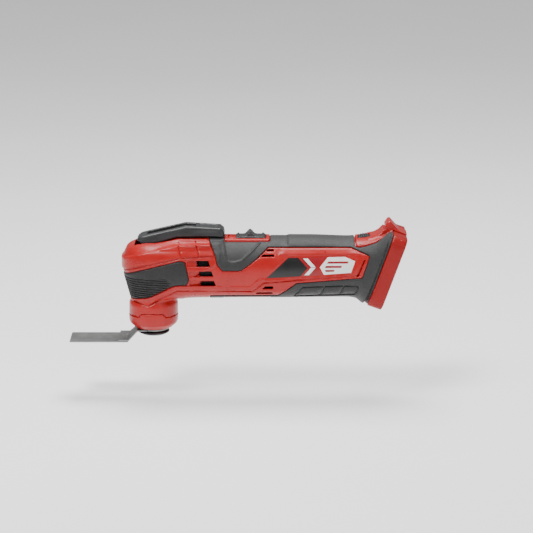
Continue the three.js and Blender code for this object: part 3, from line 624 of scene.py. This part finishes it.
def build_foot():
    """Battery foot: a rounded block with the dock's pocket, two rails and a window for the terminals."""
    g = Grid((196, -37, 26), (244, 37, 106))
    n, y, u = foot_axes(g)
    q1, q2 = np.abs(y) - FOOT_HALF + FOOT_CORNER, np.abs(u) - FOOT_TALL + FOOT_CORNER
    flat = np.hypot(np.maximum(q1, 0), np.maximum(q2, 0)) + np.minimum(np.maximum(q1, q2), 0) - FOOT_CORNER
    thick = np.abs(n + FOOT_DEPTH / 2) - FOOT_DEPTH / 2
    block = smooth_cut(flat, -thick, 1.6)
    dock = np.maximum(np.maximum(-11 - n, np.abs(y) - 27), u - 27)
    rail = np.maximum(np.maximum(-4.6 - n, n + 1.1), np.maximum(23.2 - np.abs(y), np.abs(y) - 28))
    rail = np.maximum(rail, np.maximum(-32 - u, u - 28))
    shoe = np.minimum(smooth_cut(block, dock, 0.8), np.maximum(rail, block))
    shoe = np.maximum(shoe, -np.maximum(np.maximum(np.abs(y) - 7, np.abs(u - 12) - 4), np.abs(n + 12) - 7))
    place(g.mesh("battery_shoe_piece", shoe, 0.05), "tool_body", "red_foot", "battery_shoe")


def build_lever():
    """Clamp lever: tapered in plan, slotted on top, dished at its sides, with its hub and the cam's room."""
    g = Grid((-18, -14.5, 80), (71.5, 14.5, 110), 0.4)
    side = polygon(LEVER_SIDE, g.x, g.z)
    nose = np.maximum(-6.5 - g.x, 0)
    half = LEVER_HALF - 0.035 * nose**1.7
    top = np.interp(g.x, [-15, -3.4, 31, 64, 68], [96, 99.1, 106.9, 104.9, 100])
    draft = 0.16 * np.maximum(g.z - top + 8, 0)
    width = np.abs(g.y) - half + draft
    body = smooth_cut(side, -width, 2.4)
    slot = np.maximum(np.maximum(-5 - g.x, g.x - 41), np.abs(g.y) - 6.0 + 0.1 * np.maximum(g.x - 20, 0))
    slot = np.maximum(slot, top - 5.5 - g.z)
    body = smooth_cut(body, slot, 0.7)
    pin = np.hypot(g.x - PIN_X, g.z - PIN_Z)
    post = np.maximum(np.abs(g.x - PIN_X) - HUB_R, np.maximum(PIN_Z - g.z, g.z - 92))
    hub = np.maximum(np.minimum(pin - HUB_R, post), np.abs(g.y) - LEVER_HALF + 0.3)
    body = np.minimum(body, hub)
    cam = np.maximum(np.maximum(np.abs(g.y) - 4.4, g.x - 9), g.z - top + 5)
    body = np.maximum(body, -cam)
    dish = np.sqrt(((g.x - 50) / 26)**2 + ((g.z - 99.6) / 5.2)**2) - 1
    body = body + 0.9 * (1 - ramp(dish, -0.9, 0.0)) * ramp(np.abs(g.y), 8, 10)
    back = np.maximum(np.maximum(44 - g.x, g.x - 62), np.abs(g.y) - 7.6)
    body = np.maximum(body, -np.maximum(back, top - 0.7 - g.z))
    body = np.maximum(body, PIN_BORE - pin)
    place(g.mesh("lever_grip", body, 0.05), "lever_unit", "lever_plastic", "lever")


def build_plunger_spring():
    """Two open coils, with the top end on the plunger."""
    low, high, turns, coil, wire = 73.8, 79.7, 2, 5.2, 0.5
    steps, sides = 96, 12
    points = []
    for i in range(steps + 1):
        angle = 2 * math.pi * turns * i / steps
        middle = low + wire + (high - low - 2 * wire) * i / steps
        for j in range(sides):
            turn = 2 * math.pi * j / sides
            r = coil + wire * math.cos(turn)
            points.append((r * math.cos(angle), r * math.sin(angle), middle + wire * math.sin(turn)))
    faces = [tuple(range(sides))[::-1], tuple(range(steps * sides, (steps + 1) * sides))]
    for i in range(steps):
        for j in range(sides):
            a, b = i * sides, (i + 1) * sides
            k = (j + 1) % sides
            faces.append((a + j, a + k, b + k, b + j))
    spring = mesh_object("plunger_spring_piece", points, faces)
    merge_close(spring)
    place(spring, "plunger_unit", "black_steel", "plunger_spring")
    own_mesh(spring)


# ---- Turned and flat pieces ------------------------------------------------------------
def turned(name, profile, sides=96, axis="z", centre=(0, 0, 0)):
    """Closed ring of [radius, height] points turned about an axis."""
    points, faces = [], []
    count = len(profile)
    for i in range(sides):
        angle = 2 * math.pi * i / sides
        for r, h in profile:
            a, b = r * math.cos(angle), r * math.sin(angle)
            spot = {"z": (a, b, h), "y": (a, h, b), "x": (h, a, b)}[axis]
            points.append([spot[k] + centre[k] for k in range(3)])
    for i in range(sides):
        for j in range(count):
            k = (j + 1) % count
            a, b = i * count, ((i + 1) % sides) * count
            faces.append((a + j, b + j, b + k, a + k))
    piece = mesh_object(name, points, faces)
    merge_close(piece)
    return piece


def merge_close(piece):
    made = bmesh.new()
    made.from_mesh(piece.data)
    bmesh.ops.remove_doubles(made, verts=made.verts, dist=1e-6)
    bmesh.ops.dissolve_degenerate(made, dist=1e-7, edges=made.edges)
    bmesh.ops.recalc_face_normals(made, faces=made.faces)
    made.to_mesh(piece.data)
    made.free()


def sharp_by_angle(piece, angle=35):
    piece.data.set_sharp_from_angle(angle=math.radians(angle))
    return piece


def slab(name, outline, low, high):
    """A plan outline extruded between two heights."""
    count = len(outline)
    points = [(x, y, low) for x, y in outline] + [(x, y, high) for x, y in outline]
    faces = [list(range(count))[::-1], list(range(count, 2 * count))]
    faces += [(i, (i + 1) % count, count + (i + 1) % count, count + i) for i in range(count)]
    piece = mesh_object(name, points, faces, smooth=False)
    merge_close(piece)
    return piece


def build_clamp():
    bolt = turned("clamp_bolt_turned", [
        (0, 0), (6.2, 0), (6.6, 0.3), (10.9, 0.3), (11.6, 0.5), (13.6, 1.5), (14.7, 2.2), (15, 2.7),
        (15, 3.3), (14.6, 3.8), (13.4, 4.4), (12.4, 4.6), (4.4, 4.6), (4.4, 39.6), (2.9, 40.6), (2.9, 43.4),
        (4.2, 44.4), (4.2, 48.6), (3, 49.8), (0, 49.8)])
    holder = turned("tool_holder_turned", [
        (5, 6.5), (12.2, 6.5), (12.8, 6.8), (13, 7.3), (13, 10.4), (12.6, 10.9), (11.6, 12), (5, 12)])
    place(sharp_by_angle(bolt), "clamp_bolt_unit", "black_steel", "clamp_bolt")
    place(sharp_by_angle(holder), "spindle_unit", "ground_steel", "tool_holder")


TOOTH_PITCH = 1.36
TOOTH_DEPTH = 1.1


def build_blade():
    half = BLADE_HIGH[1]
    tip, back = BLADE_LOW[0], BLADE_HIGH[0]
    outline = [(back, -half + 1), (back - 1, -half), (tip + 1.3, -half)]
    for i in range(int(2 * half / TOOTH_PITCH)):
        y = -half + i * TOOTH_PITCH
        outline += [(tip + 0.05, y + 0.42 * TOOTH_PITCH), (tip + 0.05 + TOOTH_DEPTH, y + 0.92 * TOOTH_PITCH)]
    outline += [(tip + 1.3, half), (back - 1, half), (back, half - 1)]
    blade = slab("blade_plate_steel", outline[::-1], BLADE_LOW[2], BLADE_HIGH[2])
    place(bevelled(blade, 0.12, 1, 50), "clamp_bolt_unit", "blade_steel", "blade_plate")


WELDS = [(-29.8, -9), (-29.8, 0), (-29.8, 9), (-25.8, -4.5), (-25.8, 4.5)]


def build_arbor():
    """Hub plate, 45 degree drop and lap plate, as one bent strip with its holes."""
    top, lap = ARBOR_HIGH[2], ARBOR_LOW[2]
    thick = 1.2
    hub = top - thick
    high_bend = -15.2
    low_bend = high_bend - (hub - lap)

    def height(x):
        return float(np.interp(x, [low_bend, high_bend], [lap, hub]))

    def half_width(x):
        return float(np.interp(x, [-33, low_bend, -14.6, -6], [18, 18, 13.9, 13.4]))

    stations = sorted(set([-33, -32.2] + list(np.linspace(low_bend - 1.4, low_bend + 1.2, 6))
                          + list(np.linspace(high_bend - 1.2, high_bend + 1.4, 6)) + [-9.5, -6]))
    points, faces = [], []
    for x in stations:
        tilt = 1 if low_bend < x < high_bend else 0
        w, z = half_width(x), height(x)
        shift = -0.35 * tilt
        points += [(x, -w, z), (x, w, z), (x + shift, w, z + thick), (x + shift, -w, z + thick)]
    for i in range(len(stations) - 1):
        a, b = 4 * i, 4 * i + 4
        faces += [(a + j, b + j, b + (j + 1) % 4, a + (j + 1) % 4) for j in range(4)]
    last = 4 * len(stations) - 4
    faces += [(0, 1, 2, 3), (last + 3, last + 2, last + 1, last)]
    strip = mesh_object("blade_arbor_strip", points, faces, smooth=False)
    merge_close(strip)
    hub_disc = turned("blade_arbor_hub", [(5.2, hub), (13.5, hub), (13.5, top), (5.2, top)], 72)
    cutter = turned("hub_room", [(0, hub - 2), (13.2, hub - 2), (13.2, top + 2), (0, top + 2)], 72)
    cut(strip, cutter)
    for i in range(8):
        angle = (i + 0.5) * math.pi / 4
        peg = turned("peg_room", [(0, hub - 1), (1.35, hub - 1), (1.35, top + 1), (0, top + 1)], 24,
                     centre=(9.2 * math.cos(angle), 9.2 * math.sin(angle), 0))
        cut(hub_disc, peg)
    bevelled(strip, 0.18, 2, 40)
    place(strip, "clamp_bolt_unit", "blade_steel", "blade_arbor")
    place(sharp_by_angle(hub_disc), "clamp_bolt_unit", "blade_steel", "blade_arbor")
    for i, (x, y) in enumerate(WELDS):
        weld = turned(f"spot_weld_{i + 1}", [
            (0, lap + thick - 0.05), (1.5, lap + thick - 0.05), (1.35, lap + thick + 0.16),
            (0.8, lap + thick + 0.22), (0.5, lap + thick + 0.1), (0, lap + thick + 0.08)], 24,
            centre=(x, y, 0))
        place(weld, "clamp_bolt_unit", "blade_steel")


def cut(piece, tool):
    step = piece.modifiers.new("cut", "BOOLEAN")
    step.object = tool
    step.operation = "DIFFERENCE"
    step.solver = "EXACT"
    graph = bpy.context.evaluated_depsgraph_get()
    made = bpy.data.meshes.new_from_object(piece.evaluated_get(graph))
    piece.modifiers.clear()
    piece.data = made
    bpy.data.objects.remove(tool, do_unlink=True)


def build_switch():
    x0, x1 = SLIDER_LOW[0], SLIDER_HIGH[0]
    g = Grid((x0 - 2, -10.5, 89.5), (x1 + 2, 10.5, 103), 0.35)
    peak = (x0 + x1) / 2 - 0.6
    plate = rounded_box(g.x - (x0 + x1) / 2, g.y, g.z - 94.9, ((x1 - x0) / 2, SLIDER_HIGH[1], 1.2), 0.8)
    ridge = polygon([(peak - 7.5, 95), (peak - 4.6, 97.2), (peak - 1.2, 100.9), (peak + 1.2, 100.9),
                     (peak + 4.6, 97.2), (peak + 7.5, 95)], g.x, g.z, -0.2)
    ridge = smooth_cut(ridge, -(np.abs(g.y) - SLIDER_HIGH[1] + 0.8), 1.0)
    steps = 0.35 * (1 - ramp(np.abs(g.z % 1.5 - 0.75), 0.2, 0.5)) * (g.z > 96.6) * (g.z < 100.2)
    lips = np.minimum(np.abs(g.x - x0 - 2.2), np.abs(g.x - x1 + 2.2)) - 0.9
    lips = np.maximum(np.maximum(lips, g.z - 97.1), np.maximum(np.abs(g.y) - 7.6, 94 - g.z))
    slider = smooth_union(np.minimum(plate, lips), ridge + steps, 0.8)
    stem = np.maximum(np.abs(g.x - STEM_X) - STEM_HALF, np.abs(g.y) - 2.7)
    slider = np.minimum(slider, np.maximum(stem, np.maximum(91.2 - g.z, g.z - 95)))
    place(g.mesh("switch_slider_cap", slider, 0.03), "switch_unit", "switch_plastic", "switch_slider")


def build_dial():
    points, faces = [], []
    ribs, per = 26, 8  # ribs round the wheel, and points to each rib
    count = ribs * per
    rows = [(-DIAL_HALF, 1.1), (-DIAL_HALF + 0.9, 0.0), (DIAL_HALF - 0.9, 0.0), (DIAL_HALF, 1.1)]
    for y, tuck in rows:
        for i in range(count):
            angle = 2 * math.pi * i / count
            wave = 0.5 + 0.5 * math.cos(ribs * angle)
            r = DIAL_R - tuck - 0.75 * (1 - min(1, wave * 1.7))
            points.append((DIAL_X + r * math.cos(angle), y, DIAL_Z + r * math.sin(angle)))
    for k in range(len(rows) - 1):
        for i in range(count):
            j = (i + 1) % count
            faces.append((k * count + i, k * count + j, (k + 1) * count + j, (k + 1) * count + i))
    faces += [list(range(count)), list(range(3 * count, 4 * count))[::-1]]
    dial = mesh_object("speed_dial_wheel", points, faces)
    merge_close(dial)
    place(sharp_by_angle(dial, 40), "dial_unit", "switch_plastic", "speed_dial")


def build_screws():
    for i, centre in enumerate(SCREWS):
        head = turned(f"screw_head_{i + 1}", [
            (0, -9), (1.5, -9), (1.5, 7.6), (3.2, 7.6), (3.2, 9.4), (2.8, 10), (1.9, 10.2), (1.5, 10.1),
            (1.3, 8.8), (0, 8.8)], 40, "y", (centre[0], 0, centre[2]))
        place(sharp_by_angle(head), "tool_body", "black_steel", f"housing_screw_{i + 1}")


# ---- Labels: thin films laid on the casing ---------------------------------------------
WEDGE = [(107.6, 60.9), (127.8, 79.9), (137.4, 79.9), (146.0, 70.6), (139.4, 62.7), (118, 61.3)]
RED_FIELD = [(138.6, 79.9), (147.2, 70.6), (140.6, 62.8), (159.4, 64.0), (155.6, 71.4), (163.4, 80.4)]
WHITE_FIELD = [(165.2, 80.4), (181.4, 80.6), (190.8, 77.0), (186.9, 66.0), (161.4, 64.2), (157.6, 71.4)]
BARS = [
    [(142.0, 79.3), (146.4, 79.3), (153.6, 71.5), (149.4, 71.5)],
    [(149.4, 71.0), (153.6, 71.0), (147.4, 63.9), (143.0, 63.7)],
]
DASHES = [
    [(165.4, 76.6), (184.6, 76.7), (184.0, 74.8), (164.2, 74.7)],
    [(163.4, 72.6), (178.4, 72.7), (177.8, 70.8), (162.2, 70.7)],
    [(162.4, 68.8), (171.6, 68.9), (171.0, 67.1), (163.2, 66.9)],
]


FILM = 0.16  # thickness of a label
FIELD_LIFT = 0.16
MARK_LIFT = 0.22


def film(name, outline, lift, side, replaced=()):
    """A thin plate on the casing inside a side-view outline, as a grid draped on the surface."""
    step = 0.9
    turn = sum(a[0] * b[1] - b[0] * a[1] for a, b in zip(outline, outline[1:] + outline[:1]))
    if turn > 0:
        outline = outline[::-1]
    xs = [p[0] for p in outline]
    zs = [p[1] for p in outline]
    made = bmesh.new()
    loop = [made.verts.new((x, 0, z)) for x, z in outline]
    made.faces.new(loop)
    for low, high, axis in ((min(xs), max(xs), 0), (min(zs), max(zs), 2)):
        at = low + step
        while at < high:
            normal = (1, 0, 0) if axis == 0 else (0, 0, 1)
            spot = (at, 0, 0) if axis == 0 else (0, 0, at)
            geometry = list(made.verts) + list(made.edges) + list(made.faces)
            bmesh.ops.bisect_plane(made, geom=geometry, plane_co=spot, plane_no=normal)
            at += step
    bmesh.ops.triangulate(made, faces=[f for f in made.faces if len(f.verts) > 4])
    flat = np.array([v.co[:] for v in made.verts])
    width = barrel_half_width(flat[:, 0], flat[:, 2]) - LABEL_SINK + lift
    for vert, y in zip(made.verts, width):
        vert.co.y = side * y
    bmesh.ops.solidify(made, geom=list(made.faces), thickness=FILM * side)
    bmesh.ops.recalc_face_normals(made, faces=made.faces)
    for vert in made.verts:
        vert.co *= MM
    mesh = bpy.data.meshes.new(name)
    made.to_mesh(mesh)
    made.free()
    mesh.shade_smooth()
    piece = bpy.data.objects.new(name, mesh)
    bpy.context.scene.collection.objects.link(piece)
    sharp_by_angle(piece, 40)
    return place(piece, "tool_body", "label_film", *replaced)


def barrel_half_width(x, z):
    """Where the barrel's side lies at each side-view point, in front of the tilted sections."""
    keys = np.array(STATIONS)
    _, cz, high, wide, n, _ = [curve(x, list(zip(keys[:, 0], keys[:, i]))) for i in range(1, 7)]
    u = np.clip(np.abs(z - cz) / high, 0, 1)
    return wide * (1 - u**n)**(1 / n)


def build_labels():
    """Both side labels; returns the pieces under the material that each one takes."""
    looks = {"label_black": [], "label_red": [], "label_white": []}
    for side, word in ((-1, "left"), (1, "right")):
        node = (f"label_{word}",)
        looks["label_black"].append(film(f"label_wedge_{word}", WEDGE, FIELD_LIFT, side, node))
        looks["label_red"].append(film(f"label_red_{word}", RED_FIELD, FIELD_LIFT, side, node))
        looks["label_white"].append(film(f"label_white_{word}", WHITE_FIELD, FIELD_LIFT, side, node))
        for i, bar in enumerate(BARS):
            looks["label_white"].append(film(f"label_bar_{i + 1}_{word}", bar, MARK_LIFT, side))
        for i, dash in enumerate(DASHES):
            looks["label_red"].append(film(f"label_dash_{i + 1}_{word}", dash, MARK_LIFT, side))
    return looks


# ---- Materials -------------------------------------------------------------------------
class Nodes:
    """A small helper that adds and links shader nodes."""

    def __init__(self, name):
        self.material = bpy.data.materials.new(name)
        self.material.use_nodes = True
        self.tree = self.material.node_tree
        self.shader = self.tree.nodes["Principled BSDF"]
        self.place = self.tree.nodes.new("ShaderNodeTexCoord").outputs["Object"]

    def add(self, kind, **values):
        node = self.tree.nodes.new(kind)
        for key, value in values.items():
            if key in node.inputs:
                node.inputs[key].default_value = value
            else:
                setattr(node, key, value)
        return node

    def link(self, source, target):
        self.tree.links.new(source, target)

    def noise(self, scale, detail=3.0, roughness=0.55):
        node = self.add("ShaderNodeTexNoise", Scale=scale, Detail=detail, Roughness=roughness)
        self.link(self.place, node.inputs["Vector"])
        return node.outputs["Fac"]

    def cells(self, scale):
        node = self.add("ShaderNodeTexVoronoi", Scale=scale)
        self.link(self.place, node.inputs["Vector"])
        return node.outputs["Distance"]

    def spread(self, source, low, high, to_low=0.0, to_high=1.0):
        node = self.add("ShaderNodeMapRange")
        for key, value in zip(("From Min", "From Max", "To Min", "To Max"), (low, high, to_low, to_high)):
            node.inputs[key].default_value = value
        self.link(source, node.inputs["Value"])
        return node.outputs["Result"]

    def mix(self, factor, a, b):
        node = self.add("ShaderNodeMix", data_type="RGBA")
        self.link(factor, node.inputs["Factor"])
        for value, socket in ((a, node.inputs["A"]), (b, node.inputs["B"])):
            if isinstance(value, tuple):
                socket.default_value = (*value, 1)
            else:
                self.link(value, socket)
        return node.outputs["Result"]

    def maths(self, operation, a, b):
        node = self.add("ShaderNodeMath", operation=operation)
        for value, socket in zip((a, b), node.inputs):
            if isinstance(value, (int, float)):
                socket.default_value = value
            else:
                self.link(value, socket)
        return node.outputs["Value"]

    def edges(self, low=0.5, high=0.56):
        return self.spread(self.add("ShaderNodeNewGeometry").outputs["Pointiness"], low, high)

    def bump(self, height, strength, distance):
        node = self.add("ShaderNodeBump", Strength=strength, Distance=distance)
        self.link(height, node.inputs["Height"])
        self.link(node.outputs["Normal"], self.shader.inputs["Normal"])


def plastic(name, base, light, rough=(0.36, 0.52), grain=2400, grain_strength=0.25, specular=0.5, worn=0.35):
    """Moulded plastic: fine spark-eroded grain, slight mottling and paler edges."""
    m = Nodes(name)
    mottle = m.noise(60, 4)
    dust = m.noise(420, 3)
    colour = m.mix(m.spread(mottle, 0.35, 0.7, 0, 0.35), base, light)
    edge = m.maths("MULTIPLY", m.edges(), m.spread(dust, 0.35, 0.65, 0.3, worn + 0.3))
    colour = m.mix(m.maths("MULTIPLY", edge, worn), colour, light)
    m.link(colour, m.shader.inputs["Base Color"])
    m.link(m.spread(m.maths("ADD", mottle, dust), 0.7, 1.3, *rough), m.shader.inputs["Roughness"])
    m.shader.inputs["Specular IOR Level"].default_value = specular
    height = m.maths("ADD", m.cells(grain), m.maths("MULTIPLY", m.noise(grain * 0.6, 2), 0.6))
    m.bump(height, grain_strength, 0.00008)
    return m.material


def rubber(name, base, light, grain=1800, strength=0.5):
    """Soft overmould: matt, mottled, a little paler on its edges."""
    m = Nodes(name)
    mottle = m.noise(45, 5, 0.65)
    dust = m.noise(700, 3)
    colour = m.mix(m.spread(mottle, 0.35, 0.7, 0, 0.5), base, light)
    colour = m.mix(m.spread(m.maths("MULTIPLY", m.edges(0.5, 0.58), dust), 0.1, 0.6, 0, 0.5), colour, light)
    m.link(colour, m.shader.inputs["Base Color"])
    m.link(m.spread(dust, 0.3, 0.7, 0.5, 0.72), m.shader.inputs["Roughness"])
    m.shader.inputs["Specular IOR Level"].default_value = 0.45
    m.shader.inputs["Sheen Weight"].default_value = 0.12
    m.shader.inputs["Sheen Roughness"].default_value = 0.5
    m.bump(m.maths("ADD", m.cells(grain), m.noise(grain * 0.5, 2)), strength, 0.0001)
    return m.material


def metal(name, base, light, rough=(0.28, 0.45), stretch=(1, 14, 1), strength=0.15, spots=0.0):
    """Worked steel: stretched tool marks, roughness changes and a few darker marks."""
    m = Nodes(name)
    mapping = m.add("ShaderNodeMapping")
    mapping.inputs["Scale"].default_value = stretch
    m.link(m.place, mapping.inputs["Vector"])
    marks = m.add("ShaderNodeTexNoise", Scale=260.0, Detail=5.0, Roughness=0.7)
    m.link(mapping.outputs["Vector"], marks.inputs["Vector"])
    cloud = m.noise(90, 4)
    colour = m.mix(m.spread(cloud, 0.3, 0.7), base, light)
    dark = tuple(0.45 * v for v in base)
    colour = m.mix(m.maths("MULTIPLY", m.spread(m.noise(500, 4), 0.6, 0.75), spots), colour, dark)
    m.link(colour, m.shader.inputs["Base Color"])
    m.shader.inputs["Metallic"].default_value = 1.0
    m.link(m.spread(marks.outputs["Fac"], 0.3, 0.7, *rough), m.shader.inputs["Roughness"])
    m.bump(marks.outputs["Fac"], strength, 0.00006)
    return m.material


def film_material(name, base, light):
    """Printed film and lacquered board: smooth, with faint mottling."""
    m = Nodes(name)
    colour = m.mix(m.spread(m.noise(120, 4), 0.35, 0.7, 0, 0.6), base, light)
    m.link(colour, m.shader.inputs["Base Color"])
    m.link(m.spread(m.noise(600, 3), 0.3, 0.7, 0.28, 0.4), m.shader.inputs["Roughness"])
    m.bump(m.noise(900, 2), 0.08, 0.00005)
    return m.material


def make_materials():
    return {
        "red_housing": plastic("red_moulded", (0.34, 0.003, 0.003), (0.46, 0.016, 0.014), (0.26, 0.38),
                               specular=0.38),
        "red_foot": plastic("red_foot_moulded", (0.24, 0.002, 0.002), (0.34, 0.008, 0.007), (0.34, 0.46),
                            specular=0.3),
        "overmould": rubber("grip_rubber", (0.0115, 0.0117, 0.0122), (0.026, 0.0264, 0.0275)),
        "bumper_rubber": rubber("bumper_rubber", (0.005, 0.005, 0.0052), (0.012, 0.012, 0.0125), 1500, 0.6),
        "lever_plastic": plastic("lever_moulded", (0.013, 0.0135, 0.0145), (0.05, 0.051, 0.054), (0.3, 0.44)),
        "switch_plastic": plastic("switch_moulded", (0.011, 0.011, 0.012), (0.045, 0.045, 0.047)),
        "black_plastic": plastic("black_moulded", (0.006, 0.006, 0.0063), (0.02, 0.02, 0.021), (0.5, 0.7),
                                 specular=0.2),
        "blade_steel": metal("blade_steel", (0.2, 0.2, 0.2), (0.28, 0.28, 0.277), (0.42, 0.6), spots=0.35),
        "ground_steel": metal("ground_steel", (0.52, 0.52, 0.53), (0.66, 0.66, 0.66), (0.2, 0.34)),
        "black_steel": metal("black_oxide", (0.028, 0.028, 0.03), (0.06, 0.06, 0.062), (0.3, 0.45)),
        "cast_aluminium": metal("cast_aluminium", (0.5, 0.5, 0.51), (0.64, 0.64, 0.65), (0.38, 0.55),
                                (1, 1, 1)),
        "terminal_copper": metal("plated_copper", (0.62, 0.34, 0.14), (0.74, 0.45, 0.2), (0.25, 0.4)),
        "board_green": film_material("circuit_board", (0.03, 0.14, 0.06), (0.05, 0.19, 0.08)),
        "lead_sleeve": rubber("lead_sleeve", (0.02, 0.02, 0.022), (0.04, 0.04, 0.042)),
        "label_white": film_material("label_white", (0.74, 0.74, 0.73), (0.84, 0.84, 0.83)),
        "label_black": film_material("label_black", (0.003, 0.003, 0.0032), (0.008, 0.008, 0.0085)),
        "label_red": film_material("label_red", (0.24, 0.0015, 0.006), (0.3, 0.003, 0.009)),
    }


def paint(piece, material):
    piece.data.materials.clear()
    piece.data.materials.append(material)


def paint_all(materials, labels):
    for name, group in labels.items():
        for piece in group:
            paint(piece, materials[name])
    kept = {s["node"]: s["material_slot"] for s in frame["record"]["subparts"]}
    for name, node in frame["nodes"].items():
        for slot in node.material_slots:
            slot.material = materials.get(kept[name], materials["label_white"])
    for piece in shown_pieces():
        name = piece.get("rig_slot")
        if name in materials and piece.name not in frame["nodes"]:
            paint(piece, materials[name])


# ---- Studio ----------------------------------------------------------------------------
VIEW_ELEVATION = math.radians(13.5)
FOCUS = Vector((0.10754, 0, 0.06546))
CAMERA_DISTANCE = 2.425
SENSOR = 36.0
LENS = SENSOR * 2553 / 533
FLOOR_DROP = 56  # room below the tool for the drawn clamp bolt


def build_studio():
    reach, level = 3000, cad_box[0].z / MM - FLOOR_DROP
    floor = mesh_object("floor", [(-reach, -reach, level), (reach, -reach, level), (reach, reach, level),
                                  (-reach, reach, level)], [(0, 1, 2, 3)], smooth=False)
    m = Nodes("studio_floor")
    m.link(m.mix(m.spread(m.noise(3, 2), 0.3, 0.7), (0.86, 0.86, 0.86), (0.9, 0.9, 0.9)),
           m.shader.inputs["Base Color"])
    m.shader.inputs["Roughness"].default_value = 0.9
    m.shader.inputs["Emission Color"].default_value = (1, 1, 1, 1)
    m.shader.inputs["Emission Strength"].default_value = 0.32
    paint(floor, m.material)

    world = bpy.data.worlds.new("studio")
    bpy.context.scene.world = world
    world.use_nodes = True
    world.node_tree.nodes["Background"].inputs["Color"].default_value = (1, 1, 1, 1)
    world.node_tree.nodes["Background"].inputs["Strength"].default_value = 0.34

    for name, place_at, size, power in (
            ("key", (-0.45, -0.75, 1.5), 0.55, 30),
            ("top", (0.15, 0.3, 1.4), 0.8, 26),
            ("fill", (0.9, -1.2, 0.6), 0.6, 3)):
        lamp = bpy.data.lights.new(name, "AREA")
        lamp.size = size
        lamp.energy = power
        holder = bpy.data.objects.new(name, lamp)
        holder.location = place_at
        aim = FOCUS - Vector(place_at)
        holder.rotation_euler = aim.to_track_quat("-Z", "Y").to_euler()
        bpy.context.scene.collection.objects.link(holder)

    lens = bpy.data.cameras.new("camera")
    lens.sensor_width = SENSOR
    lens.lens = LENS
    lens.clip_end = 20
    camera = bpy.data.objects.new("camera", lens)
    towards = Vector((0, -math.cos(VIEW_ELEVATION), math.sin(VIEW_ELEVATION)))
    camera.location = FOCUS + CAMERA_DISTANCE * towards
    camera.rotation_euler = (FOCUS - camera.location).to_track_quat("-Z", "Y").to_euler()
    bpy.context.scene.collection.objects.link(camera)
    bpy.context.scene.camera = camera


build_casing()
build_bumper()
build_collar()
build_rear_cap()
build_foot()
build_lever()
build_plunger_spring()
build_clamp()
build_blade()
build_arbor()
build_switch()
build_dial()
build_screws()
label_pieces = build_labels()
paint_all(make_materials(), label_pieces)
build_studio()
